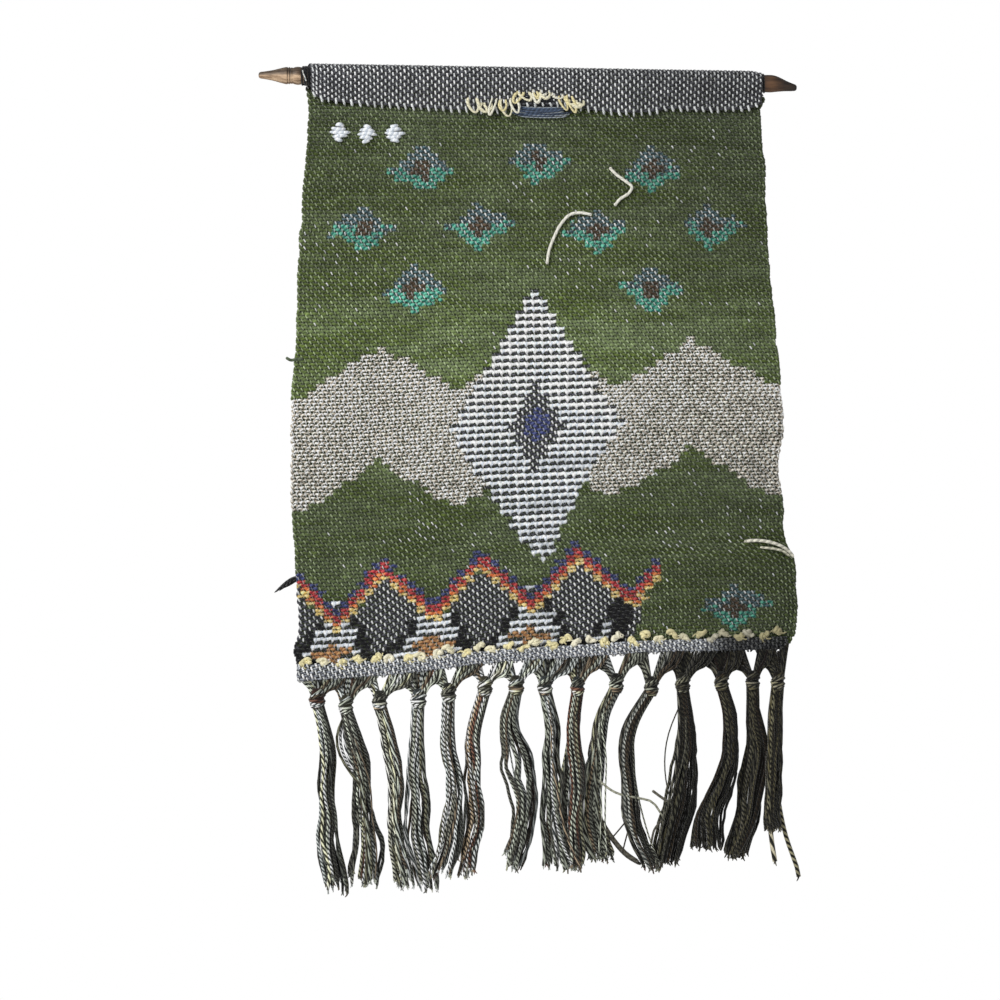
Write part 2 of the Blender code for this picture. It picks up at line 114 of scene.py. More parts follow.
BOTTOM_EDGE = table(
    "x drop hem",
    (-178, 485.0, 14.0), (-126, 481.5, 14.0), (-78, 475.5, 12.5), (-30, 469.0, 11.0),
    (34, 463.0, 10.5), (98, 458.0, 10.5), (146, 455.5, 10.5), (213, 453.0, 11.0))
EDGE_CURL = table(
    "drop left_back right_back",
    (26, 0.0, 0.0), (120, -1.2, 1.0), (250, 1.5, -1.5), (350, -1.0, 0.5), (385, -1.5, 5.5),
    (420, 0.5, 7.0), (445, 1.5, 5.0), (485, 0.0, 1.0))
EDGE_CURL_WIDTH = 34.0
RIPPLE_HEIGHT = 1.5
RIPPLE_LENGTH = 118.0
RIPPLE_SLANT = 210
RIPPLE_GROWS = 160
# The edges waver above this drop. On top of the rod the right edge is pulled down this far.
WAVER_END = 470.0
RIGHT_TUCK = 1.4

# ---- weave ----
WARPS = 118
# How many weft picks lie along each run of the folded cloth, from the flap's edge to the hem's.
RUNS = {
    "front_flap": 9, "over_rod": 10, "against_wall": 1, "behind_rod": 8, "panel": 157,
    "bottom_fold": 2, "hem": 4,
}
PICKS = sum(RUNS.values())
PANEL_LAST = PICKS - RUNS["hem"] - RUNS["bottom_fold"]
PANEL_FIRST = PANEL_LAST - RUNS["panel"]
FLAP_PICKS = 14
PICK_PITCH = 2.8
WARP_PITCH = 3.2
WEFT_BANDS = 8
WARP_BANDS = 4
WEFT_SIDES = 4
WARP_SIDES = 3
# The weft's rings in each crossing, and those where it turns to the next pick.
WEFT_SAMPLES = np.array([-0.33, 0.0, 0.33])
WEFT_SWELL = np.array([0.72, 1.0, 0.72])
WEFT_MIDDLE = np.array([0.0, 1.0, 0.0])
WEFT_TURN = np.array([0.62, 1.0, 1.38])
TURN_BULGE = np.array([0.15, 0.4, 0.15])
TURN_INSET = 0.0025
WEFT_LIFT = 0.52
WEFT_DEPTH = 0.98
WEFT_SLANT = 0.30
WEFT_SAG = 0.52
WEFT_TWIST = 5.2
WARP_SAMPLES = np.array([-0.30, 0.30])
WARP_LIFT = 0.95
WARP_SLANT = 0.42
WARP_RADIUS = 0.66
WARP_DEPTH = 0.55
WARP_TWIST = 3.2
PALEST = 1.35
# The hem's warps stand out more, and the flap's outermost ones float over its picks. The warps
# are darkened with painted shade at the pick on top of the casing.
HEM_FLOAT = 0.45
EDGE_WARPS = 2
EDGE_FLOAT = -0.6
CASING_RIDGE = 13.5
# The ground sheet between the yarns: its cells across and down, and half its thickness.
GROUND_CELLS = (30, 80)
GROUND_HALF = 0.12

# ---- tassels, as in the solids ----
# The place and length of each, where its legs meet the hem, how far its middle has moved and
# half its width at each fifth of its length, and how thick its knot is beside the others.
TASSELS = table(
    "x drop length left_leg right_leg moves widths girth",
    (-160, 497, 156, -170.0, -147.2, (8, 9, 10, 13, 17), (6.5, 7.0, 7.5, 8.5, 10.5), 1.1),
    (-137, 502, 145, -140.2, -121.5, (8, 14, 16, 19, 18), (8.0, 8.0, 8.5, 13.0, 13.0), 0.95),
    (-110, 498, 149, -114.5, -91.0, (8, 13, 15, 17, 23), (6.8, 7.0, 6.5, 6.5, 7.5), 1.0),
    (-79, 496, 157, -84.0, -69.0, (-1, -1, 0, 4, 11), (6.5, 9.0, 10.0, 11.0, 7.5), 1.05),
    (-55, 491, 147, -62.0, -37.5, (0, 4, 8, 4, -3), (6.2, 7.0, 8.5, 10.0, 11.0), 1.0),
    (-26, 485, 154, -30.5, -13.8, (-8, -9, -6, -8, -15), (6.2, 6.2, 6.5, 7.0, 6.2), 1.0),
    (-1, 484, 147, -6.8, 10.2, (-5, 2, 7, 6, -4), (9.0, 14.0, 11.5, 9.0, 9.0), 1.05),
    (22, 484, 147, 17.2, 39.0, (6, 6, 9, 11, 16), (6.8, 7.0, 10.0, 12.0, 15.0), 1.0),
    (48, 484, 146, 46.0, 62.2, (-3, 1, 1, 1, 2), (6.2, 7.0, 6.3, 6.3, 6.5), 0.92),
    (79, 481, 142, 69.2, 93.5, (-12, -14, -17, -16, -10), (6.3, 6.3, 6.3, 7.0, 10.5), 0.95),
    (107, 483, 147, 100.5, 123.0, (-16, -19, -16, -10, 3), (6.3, 6.5, 6.5, 6.5, 8.0), 0.95),
    (132, 480, 146, 130.0, 148.5, (3, 4, 0, -6, -11), (7.6, 10.0, 12.5, 12.5, 9.0), 1.0),
    (163, 478, 134, 155.5, 170.1, (7, 8, 1, -7, -8), (6.2, 6.5, 10.0, 11.0, 11.0), 0.95),
    (188, 477, 142, 177.1, 193.3, (1, 2, -2, -5, -12), (6.2, 8.5, 9.5, 11.5, 10.5), 0.92),
    (208, 477, 148, 200.3, 208.5, (-2, -2, -4, -2, 2), (6.3, 7.0, 6.5, 6.3, 6.5), 0.92))
TOP_WIDTH = 5.6
HEAD_Y = -FOLD_RADIUS
# The loose strands come out of the knot this far below its middle.
KNOT_HALF = 3.0


def tone(red, green, blue):
    """A colour given in 0 to 255 display values, as linear light."""
    shown = np.array([red, green, blue], float) / 255
    return np.where(shown <= 0.04045, shown / 12.92, ((shown + 0.055) / 1.055) ** 2.4)


# ---- yarn colours: each yarn is two plies, twisted ----
Yarn = namedtuple("Yarn", "dark light")
YARNS = {name: Yarn(tone(*dark), tone(*light)) for name, dark, light in (
    ("green", (66, 80, 36), (100, 114, 62)),
    ("teal", (36, 104, 92), (98, 172, 148)),
    ("slate", (50, 70, 76), (92, 116, 122)),
    ("white", (216, 223, 233), (246, 249, 252)),
    ("beige", (150, 141, 126), (252, 246, 234)),
    ("charcoal", (36, 36, 43), (82, 82, 91)),
    ("roving", (14, 14, 16), (26, 26, 30)),
    ("brown", (58, 46, 34), (92, 76, 60)),
    ("tan", (150, 104, 66), (196, 152, 104)),
    ("red", (146, 36, 48), (204, 84, 82)),
    ("orange", (200, 100, 54), (230, 148, 92)),
    ("yellow", (212, 182, 104), (242, 224, 164)),
    ("blue", (38, 44, 84), (78, 86, 132)),
    ("header", (52, 52, 57), (90, 91, 97)),
    ("hem", (104, 107, 116), (184, 189, 199)),
)}
# The green yarn varies along its length, from mossy to greyish.
MOSS = tone(73, 87, 38)
SAGE = tone(94, 107, 71)
WARP_TONE = tone(240, 243, 243)
WARP_GREEN = tone(178, 192, 151)

# ---- how each patch of the pattern is woven ----
# Its own yarn goes over the even warps and the second one over the odd warps. Then come how
# thick the two are and how far their pips come to a point below; and for the warps between
# them, how far they come up, how wide and slanted they are, and how pale.
PATCHES = table(
    "name second first_size second_size point warp_show warp_wide warp_lean warp_light",
    ("green", "green", 1.60, 1.60, 0.40, 0.98, 0.95, 1.25, 0.62),
    ("teal", "teal", 1.95, 1.60, 0.50, 0.75, 0.90, 1.0, 0.60),
    ("slate", "slate", 1.30, 1.30, 0.20, 1.00, 1.10, 1.0, 0.95),
    ("beige", "beige", 1.50, 1.22, 0.85, 0.95, 0.85, 1.0, 0.85),
    ("white", "charcoal", 2.45, 0.95, 1.00, 0.50, 0.62, 0.8, 0.50),
    ("charcoal", "charcoal", 1.10, 1.10, 0.10, 1.22, 1.25, 0.9, 1.10),
    ("roving", "roving", 2.00, 2.00, 0.00, 0.10, 0.80, 1.0, 0.08),
    ("brown", "brown", 1.50, 1.50, 0.35, 0.85, 0.90, 1.0, 0.50),
    ("tan", "tan", 1.60, 1.60, 0.35, 0.75, 0.80, 1.0, 0.40),
    ("yellow", "yellow", 1.65, 1.65, 0.50, 0.70, 0.80, 1.0, 0.35),
    ("header", "header", 1.34, 1.34, 0.00, 1.16, 1.14, 0.5, 1.15),
    ("hem", "hem", 1.05, 1.05, 0.00, 1.40, 1.28, 1.8, 1.35),
    *[(name, name, 1.60, 1.60, 0.50, 0.70, 0.80, 1.0, 0.35) for name in ("red", "orange", "blue")])
PATCH_NAMES = [patch.name for patch in PATCHES]


# ---- shared tools ----
def interpolate(rows, at, column):
    """Smooth values of a column at places in the table's first column."""
    places = np.array([row[0] for row in rows], float)
    values = np.array([getattr(row, column) for row in rows], float)
    last = len(places) - 1
    low = np.maximum(np.arange(last + 1) - 1, 0)
    high = np.minimum(np.arange(last + 1) + 1, last)
    slopes = (values[high] - values[low]) / (places[high] - places[low])
    at = np.clip(at, places[0], places[-1])
    i = np.clip(np.searchsorted(places, at, side="right") - 1, 0, last - 1)
    span = places[i + 1] - places[i]
    t = (at - places[i]) / span
    return (values[i] * (1 + 2 * t) * (1 - t) ** 2 + values[i + 1] * t * t * (3 - 2 * t)
            + span * (slopes[i] * t * (1 - t) ** 2 - slopes[i + 1] * t * t * (1 - t)))


def ease(t):
    """Smooth step from 0 to 1."""
    t = np.clip(t, 0.0, 1.0)
    return t * t * (3 - 2 * t)


def smooth_noise(x, y, seed):
    """Smooth noise from -1 to 1 over a plane, with one random value to each unit square."""
    size = 64
    lattice = np.random.default_rng(seed).uniform(-1, 1, (size, size))
    x, y = np.broadcast_arrays(np.asarray(x, float), np.asarray(y, float))
    column, row = np.floor(x).astype(int), np.floor(y).astype(int)
    s, t = ease(x - column), ease(y - row)
    near, far = [lattice[column % size, r % size] * (1 - s) + lattice[(column + 1) % size, r % size] * s
                 for r in (row, row + 1)]
    return near * (1 - t) + far * t


def unit(vectors):
    """Vectors at length 1."""
    return vectors / np.maximum(np.linalg.norm(vectors, axis=-1, keepdims=True), 1e-9)


def smooth_route(points, count):
    """Points on a smooth curve through a route's own points."""
    points = np.asarray(points, float)
    last = len(points) - 1
    at = np.linspace(0, last, count)
    i = np.minimum(at.astype(int), last - 1)
    t = (at - i)[:, None]
    before, start = points[np.maximum(i - 1, 0)], points[i]
    end, after = points[i + 1], points[np.minimum(i + 2, last)]
    return 0.5 * (2 * start + (end - before) * t
                  + (2 * before - 5 * start + 4 * end - after) * t * t
                  + (3 * start - before - 3 * end + after) * t ** 3)


def neighbours(points):
    """The points one step ahead and one step behind, carried on past the two ends."""
    ahead = np.vstack([points[1:], 2 * points[-1:] - points[-2:-1]])
    behind = np.vstack([2 * points[:1] - points[1:2], points[:-1]])
    return ahead, behind


# ---- the cloth's surface ----
def relief(x, drop):
    """How far back (+Y) the middle of the hanging cloth lies."""
    loose = ease((drop - PANEL_START) / RIPPLE_GROWS)
    ripple = RIPPLE_HEIGHT * loose * np.sin(math.tau * x / RIPPLE_LENGTH + drop / RIPPLE_SLANT)
    near_left = ease(1 - (x - interpolate(OUTLINE, drop, "left")) / EDGE_CURL_WIDTH)
    near_right = ease(1 - (interpolate(OUTLINE, drop, "right") - x) / EDGE_CURL_WIDTH)
    return (ripple + near_left * interpolate(EDGE_CURL, drop, "left_back")
            + near_right * interpolate(EDGE_CURL, drop, "right_back"))


def edge_waver(drop, seed):
    """How a side edge wanders in and out, less and less towards the bottom fold."""
    fade = ease((WAVER_END - drop) / 30)
    slow = 0.9 * smooth_noise(drop / 13, 0.5, seed)
    return fade * (slow + 0.5 * smooth_noise(drop / 5.5, 0.5, seed + 1))


def side_to_side(across, drop):
    """X at a share of the width, from the left edge (0) to the right edge (1)."""
    left = interpolate(OUTLINE, drop, "left") + edge_waver(drop, 41)
    return left + (interpolate(OUTLINE, drop, "right") + edge_waver(drop, 43) - left) * across


class FoldedCloth:
    """The cloth at shares of its width. Each run gives x, y and z at shares of its length."""

    def __init__(self, across):
        first, last = BOTTOM_EDGE[0], BOTTOM_EDGE[-1]
        self.across = across
        self.flap = interpolate(FLAP_EDGE, across, "drop")
        self.casing_x = CASING_LEFT + (CASING_RIGHT - CASING_LEFT) * across
        self.back_x = CASING_BACK_LEFT + (CASING_RIGHT - CASING_BACK_LEFT) * across
        self.low_x = side_to_side(across, first.drop + (last.drop - first.drop) * across)
        bottom = interpolate(BOTTOM_EDGE, self.low_x, "drop")
        self.fold_drop = bottom - CLOTH_THICKNESS / 2 - FOLD_RADIUS
        hem = interpolate(BOTTOM_EDGE, self.low_x, "hem")
        self.hem_top = self.fold_drop - hem + FOLD_RADIUS + CLOTH_THICKNESS / 2

    def front_flap(self, t):
        y = -FLAP_STANDOFF - (CASING_RADIUS - FLAP_STANDOFF) * ease(t)
        return self.casing_x, y, -self.flap * (1 - t)

    def over_rod(self, t):
        angle = math.pi * (1 - t)
        x = self.casing_x + (self.back_x - self.casing_x) * ease(t)
        radius = CASING_RADIUS - RIGHT_TUCK * ease((self.across - 0.975) / 0.025)
        return x, CASING_RADIUS * np.cos(angle), radius * np.sin(angle)

    def against_wall(self, t):
        return self.back_x, CASING_RADIUS + 0 * t, -WALL_CONTACT * t

    def behind_rod(self, t):
        drop = WALL_CONTACT + (PANEL_START - WALL_CONTACT) * t
        juts = JUT * np.exp(-((drop - JUT_DROP) / 5.0) ** 2) * ease((self.across - 0.92) / 0.08)
        return side_to_side(self.across, drop) + juts, CASING_RADIUS * (1 - ease(t)), -drop

    def panel(self, t):
        drop = PANEL_START + (self.fold_drop - PANEL_START) * t
        x = side_to_side(self.across, drop)
        return x, relief(x, drop), -drop

    def bottom_fold(self, t):
        angle = math.pi * t
        fold_y = relief(self.low_x, self.fold_drop)
        return (self.low_x, fold_y - FOLD_RADIUS + FOLD_RADIUS * np.cos(angle),
                -self.fold_drop - FOLD_RADIUS * np.sin(angle))

    def hem(self, t):
        drop = self.fold_drop + (self.hem_top - self.fold_drop) * t
        return self.low_x, relief(self.low_x, drop) - 2 * FOLD_RADIUS, -drop


def surface_at(across, row):
    """The cloth's middle at shares of its width and at picks counted from the flap's edge."""
    across, row = np.broadcast_arrays(np.asarray(across, float), np.asarray(row, float))
    cloth = FoldedCloth(across)
    found = np.zeros(across.shape + (3,))
    start = 0
    for name, picks in RUNS.items():
        t = (row - start) / picks
        # The first and the last run carry on past the cloth's two ends.
        if name not in ("front_flap", "hem"):
            t = np.clip(t, 0, 1)
        place = np.stack(np.broadcast_arrays(*getattr(cloth, name)(t)), -1)
        found = np.where(((row >= start) | (start == 0))[..., None], place, found)
        start += picks
    return found


def surface_frame(across, row):
    """The cloth's middle and its normal, which points to the front on the hanging panel."""
    step = 0.08
    middle = surface_at(across, row)
    down = surface_at(across, np.asarray(row) + step) - surface_at(across, np.asarray(row) - step)
    down[..., 0] = 0
    down = unit(down)
    return middle, np.stack([np.zeros_like(down[..., 0]), down[..., 2], -down[..., 1]], -1)


# ---- objects and yarn meshes ----
def new_object(name, data):
    """An object in the scene."""
    made = bpy.data.objects.new(name, data)
    bpy.context.scene.collection.objects.link(made)
    return made


def new_piece(name, mesh, finish):
    """A smooth-shaded mesh as a piece of the object, riding on its body."""
    mesh.materials.append(finish)
    mesh.shade_smooth()
    made = new_object(name, mesh)
    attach(made, BODY)
    return made


def add_colours(mesh, layer, colours):
    """A colour at each point of the mesh."""
    values = np.ones((len(colours), 4), np.float32)
    values[:, :3] = np.clip(colours, 0, 1)
    mesh.color_attributes.new(layer, "FLOAT_COLOR", "POINT").data.foreach_set("color", values.ravel())


def quad_map(start, end, low, high):
    """The map's corners for quads that run from start to end along it and low to high across."""
    corners = ((start, low), (start, high), (end, high), (end, low))
    return np.stack([np.stack(corner, -1) for corner in corners], 1).reshape(-1, 2)


def ring_points(middles, first, second, sides):
    """Rings of points round a path, from two vectors across it for each ring."""
    angles = math.tau * np.arange(sides) / sides
    return (middles[:, None] + first[:, None] * np.cos(angles)[None, :, None]
            + second[:, None] * np.sin(angles)[None, :, None])


def rings_along(path, radii, sides):
    """Rings of points round a path, without twist."""
    path = np.asarray(path, float)
    radii = np.broadcast_to(radii, (len(path),))[:, None]
    ahead, behind = neighbours(path)
    tangents = unit(ahead - behind)
    across = np.zeros((len(path), 3))
    start = np.array([1.0, 0.0, 0.0]) if abs(tangents[0][0]) < 0.8 else np.array([0.0, 0.0, 1.0])
    for k, tangent in enumerate(tangents):
        start = start - tangent * (start @ tangent)
        start = start / max(np.linalg.norm(start), 1e-9)
        across[k] = start
    return ring_points(path, radii * across, radii * np.cross(tangents, across), sides)


class YarnSet:
    """Tubes of yarn gathered into one mesh, each with its own strip of the maps."""

    def __init__(self, seed=0):
        self.rng = np.random.default_rng(seed)
        self.points, self.corners, self.counts = [], [], []
        self.twist, self.strip_map, self.dark, self.light = [], [], [], []
        self.total, self.strips = 0, 0

    def add(self, rings, pitch, dark, light, phase=0.0, per_strip=None):
        """Close a tube over rings of points.

        pitch is the length of one turn of its twist, and per_strip is how many of its rings
        share a strip of the map, which is all of them unless it is given.
        """
        count, sides = rings.shape[:2]
        steps = np.linalg.norm(np.diff(rings.mean(axis=1), axis=0), axis=1)
        turns = (np.concatenate([[0], np.cumsum(steps)]) + phase * pitch) / pitch
        ring = np.repeat(np.arange(count - 1), sides)
        k = np.tile(np.arange(sides), count - 1)
        near, after = self.total + ring * sides, (k + 1) % sides
        quads = np.stack([near + k, near + after, near + sides + after, near + sides + k], -1)
        self.corners.append(quads.ravel())
        self.counts.append(np.full(len(ring), 4))
        self.twist.append(quad_map(turns[ring], turns[ring + 1], k / sides, (k + 1) / sides))
        per = per_strip or count - 1
        strip = self.strips + ring // per
        edge = strip + 0.04
        self.strip_map.append(quad_map(ring % per / per, (ring % per + 1) / per,
                                       edge + 0.92 * k / sides, edge + 0.92 * (k + 1) / sides))
        around = np.arange(sides)
        for end, order, u, v in ((0, around[::-1], 0.002, self.strips + 0.5),
                                 (count - 1, around, 0.998, strip[-1] + 0.5)):
            angle = math.tau * order / sides
            self.corners.append(self.total + end * sides + order)
            self.counts.append(np.array([sides]))
            self.twist.append(np.stack([np.full(sides, turns[end]), order / sides], -1))
            self.strip_map.append(np.stack([u + 0.002 * np.cos(angle), v + 0.3 * np.sin(angle)], -1))
        self.points.append(rings.reshape(-1, 3))
        self.dark.append(np.repeat(np.broadcast_to(dark, (count, 3)), sides, axis=0))
        self.light.append(np.repeat(np.broadcast_to(light, (count, 3)), sides, axis=0))
        self.total += count * sides
        self.strips = int(strip[-1]) + 1

    def strand(self, path, radii, colour, sides, pitch, shade, phase=0.0):
        """A yarn along a path. shade is its darker ply's share of its colour."""
        self.add(rings_along(path, radii, sides), pitch, colour * shade, colour, phase)

    def build(self, name, finish, slot):
        """The finished piece."""
        mesh = bpy.data.meshes.new(name)
        corners, counts = np.concatenate(self.corners), np.concatenate(self.counts)
        mesh.vertices.add(self.total)
        mesh.vertices.foreach_set("co", (np.concatenate(self.points) * MM).astype(np.float32).ravel())
        mesh.loops.add(len(corners))
        mesh.loops.foreach_set("vertex_index", corners.astype(np.int32))
        mesh.polygons.add(len(counts))
        starts = np.concatenate([[0], np.cumsum(counts)[:-1]])
        mesh.polygons.foreach_set("loop_start", starts.astype(np.int32))
        mesh.update(calc_edges=True)
        strip_map = np.concatenate(self.strip_map)
        strip_map[:, 1] /= self.strips
        for layer, values in (("OFBake", strip_map), ("Twist", np.concatenate(self.twist))):
            mesh.uv_layers.new(name=layer).uv.foreach_set("vector", values.astype(np.float32).ravel())
        add_colours(mesh, "dark_ply", np.concatenate(self.dark))
        add_colours(mesh, "light_ply", np.concatenate(self.light))
        return new_piece(name, mesh, finish)


# ---- materials ----
class NodeSet:
    """The nodes of a material or of the world."""

    def __init__(self, owner):
        owner.use_nodes = True
        self.owner = owner
        self.tree = owner.node_tree

    def set(self, node, inputs):
        """Give a node's inputs their values, or link them to the sockets given."""
        for name, value in inputs.items():
            if isinstance(value, bpy.types.NodeSocket):
                self.tree.links.new(value, node.inputs[name])
            else:
                node.inputs[name].default_value = value

    def node(self, kind, inputs, **settings):
        """The outputs of a new node."""
        made = self.tree.nodes.new("ShaderNode" + kind)
        for name, value in settings.items():
            setattr(made, name, value)
        self.set(made, inputs)
        return made.outputs

    def math(self, operation, *values):
        """The result of a Math node."""
        return self.node("Math", dict(enumerate(values)), operation=operation)[0]

    def ranged(self, value, to, source=(0, 1), **settings):
        """A value brought from one range to another."""
        inputs = {"Value": value, "From Min": source[0], "From Max": source[1],
                  "To Min": to[0], "To Max": to[1]}
        return self.node("MapRange", inputs, **settings)["Result"]

    def noise(self, scale, detail, stretch=(1, 1, 1)):
        """Noise over the object's own coordinates."""
        place = self.node("TexCoord", {})["Object"]
        place = self.node("Mapping", {"Vector": place, "Scale": stretch})["Vector"]
        return self.node("TexNoise", {"Vector": place, "Scale": scale, "Detail": detail})["Fac"]

    def ramp(self, value, low, high, places=(0, 1)):
        """A colour from low to high."""
        made = self.tree.nodes.new("ShaderNodeValToRGB")
        for element, place, colour in zip(made.color_ramp.elements, places, (low, high)):
            element.position = place
            element.color = (*colour, 1)
        self.set(made, {"Fac": value})
        return made.outputs["Color"]

    def material(self, inputs, height, strength, distance):
        """The material, with a bump from a height and its shader's other inputs."""
        bump = self.node("Bump", {"Height": height, "Strength": strength, "Distance": distance})
        self.set(self.tree.nodes["Principled BSDF"], {"Normal": bump["Normal"], **inputs})
        return self.owner


WOOLS = table(
    "name plies light_share fibre_scale contrast sheen",
    ("woven_wool_yarn", 1, 0.5, 1500, 0.32, 0.25), ("fringe_wool_yarn", 2, 0.45, 1200, 0.30, 0.30),
    ("cream_cotton_yarn", 2, 0.6, 1500, 0.22, 0.2), ("black_roving", 3, 0.5, 900, 0.4, 0.4))


def wool(name, plies, light_share, fibre_scale, contrast, sheen):
    """Spun yarn: slanted stripes of its light and dark plies, with fibres and a soft sheen."""
    made = NodeSet(bpy.data.materials.new(name))
    place = made.node("SeparateXYZ", {0: made.node("UVMap", {}, uv_map="Twist")["UV"]})
    turns = made.math("ADD", place["X"], made.math("MULTIPLY", place["Y"], plies))
    phase = made.math("MULTIPLY", turns, math.tau)
    middle = math.cos(math.pi * light_share)
    share = made.ranged(made.math("SINE", phase), (0, 1), (middle - 0.5, middle + 0.5),
                        interpolation_type="SMOOTHSTEP")
    dark, light = [made.node("Attribute", {}, attribute_name=layer)["Color"]
                   for layer in ("dark_ply", "light_ply")]
    plied = made.node("Mix", {"Factor": share, "A": dark, "B": light}, data_type="RGBA")
    fibres = made.noise(fibre_scale, 3.0)
    shade = made.ranged(fibres, (1.0 - contrast, 1.0 + 0.8 * contrast), (0.3, 0.7))
    tinted = made.node("VectorMath", {0: plied["Result"], "Scale": shade}, operation="SCALE")
    groove = made.math("ABSOLUTE", made.math("COSINE", phase))
    height = made.math("ADD", made.math("MULTIPLY", groove, -0.8), fibres)
    return made.material({
        "Base Color": tinted[0], "Roughness": made.ranged(fibres, (0.8, 1.0)), "Sheen Weight": sheen,
        "Sheen Roughness": 0.4, "Specular IOR Level": 0.25}, height, 0.8, 0.0004)


def turned_wood():
    """Turned wood with long streaked grain, tinted by the colours and painted shade along the rod."""
    made = NodeSet(bpy.data.materials.new("turned_wood_grain"))
    grain = made.noise(420, 5.0, (0.09, 1, 1))
    colour = made.ramp(grain, tone(106, 78, 54), tone(206, 176, 144), (0.34, 0.64))
    shade = made.node("Attribute", {}, attribute_name="wood_shade")["Color"]
    tinted = made.node("VectorMath", {0: colour, 1: shade}, operation="MULTIPLY")
    return made.material({"Base Color": tinted[0], "Roughness": made.ranged(grain, (0.45, 0.7))},
                         made.noise(1400, 2.0, (0.12, 1, 1)), 0.35, 0.0003)


def gap_shade_sheet():
    """Dark felt-like sheet between the yarns: its dark colour is painted shade in the gaps."""
    made = NodeSet(bpy.data.materials.new("felted_ground"))
    fibres = made.noise(700, 4.0)
    colour = made.ramp(fibres, tone(26, 30, 20), tone(52, 60, 38))
    return made.material({"Base Color": colour, "Roughness": 1.0}, fibres, 0.5, 0.0004)


# ---- camera, light and floor ----
def add_camera():
    """The camera, square on to the cloth and rolled a little."""
    data = bpy.data.cameras.new("camera")
    data.lens = CAMERA_LENS
    made = new_object("camera", data)
    made.location = Vector(CAMERA_AIM) - Vector((0, CAMERA_DISTANCE, 0))
    level = Quaternion((1, 0, 0), math.radians(90))
    made.rotation_mode = "QUATERNION"
    made.rotation_quaternion = Quaternion((0, 1, 0), math.radians(CAMERA_ROLL)) @ level
    bpy.context.scene.camera = made


def add_light(light):
    """A square soft light, turned to the cloth."""
    data = bpy.data.lights.new(light.name, "AREA")
    data.size = light.size
    data.energy = light.power
    made = new_object(light.name, data)
    made.location = light.place
    made.rotation_mode = "QUATERNION"
    made.rotation_quaternion = (Vector(LIGHT_AIM) - Vector(light.place)).to_track_quat("-Z", "Y")


def add_studio():
    """A pale floor far below the fringe, a pale surround and soft lights."""
    bpy.context.scene.view_settings.view_transform = "Standard"
    bpy.context.scene.world = bpy.data.worlds.new("studio")
    studio = NodeSet(bpy.context.scene.world)
    seen = studio.node("LightPath", {})["Is Camera Ray"]
    studio.set(studio.tree.nodes["Background"],
               {"Color": (1, 1, 1, 1), "Strength": studio.ranged(seen, (0.42, 1.0))})
    for light in LIGHTS:
        add_light(light)
    mesh = bpy.data.meshes.new("floor")
    corners = [(FLOOR_HALF * x, FLOOR_HALF * y, FLOOR_LEVEL)
               for x, y in ((-1, -1), (1, -1), (1, 1), (-1, 1))]
    mesh.from_pydata(corners, [], [(0, 1, 2, 3)])
    pale = NodeSet(bpy.data.materials.new("pale_floor"))
    pale.set(pale.tree.nodes["Principled BSDF"],
             {"Base Color": (0.8, 0.8, 0.79, 1), "Roughness": 0.9})
    mesh.materials.append(pale.owner)
    new_object("floor", mesh)


# ---- loose yarn ends ----
def add_yarn_tails(finish):
    """The two loose ends of white yarn on the face of the cloth."""
    clear = CLOTH_THICKNESS / 2 + YARN_RADIUS + TAIL_CLEARANCE
    for name, route in YARN_TAILS.items():
        points = [(p.x, float(relief(p.x, p.drop)) - clear, -p.drop) for p in route]
        path = smooth_route(points, TAIL_STEPS)
        radii = np.full(TAIL_STEPS, YARN_RADIUS)
        radii[0] = radii[-1] = YARN_RADIUS * 0.55
        radii = radii * (1 + 0.08 * np.sin(np.arange(TAIL_STEPS) * 1.7))
        yarn = YarnSet()
        yarn.strand(path, radii, TAIL_WHITE, sides=8, pitch=6.0, shade=0.8)
        tail = yarn.build(name + "_yarn", finish, "white_yarn")
        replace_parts(tail, name)


# ---- the pattern ----
def zigzag(u, length):
    """A triangle wave from -1 to 1."""
    return 4 * np.abs(u / length - np.floor(u / length + 0.5)) - 1


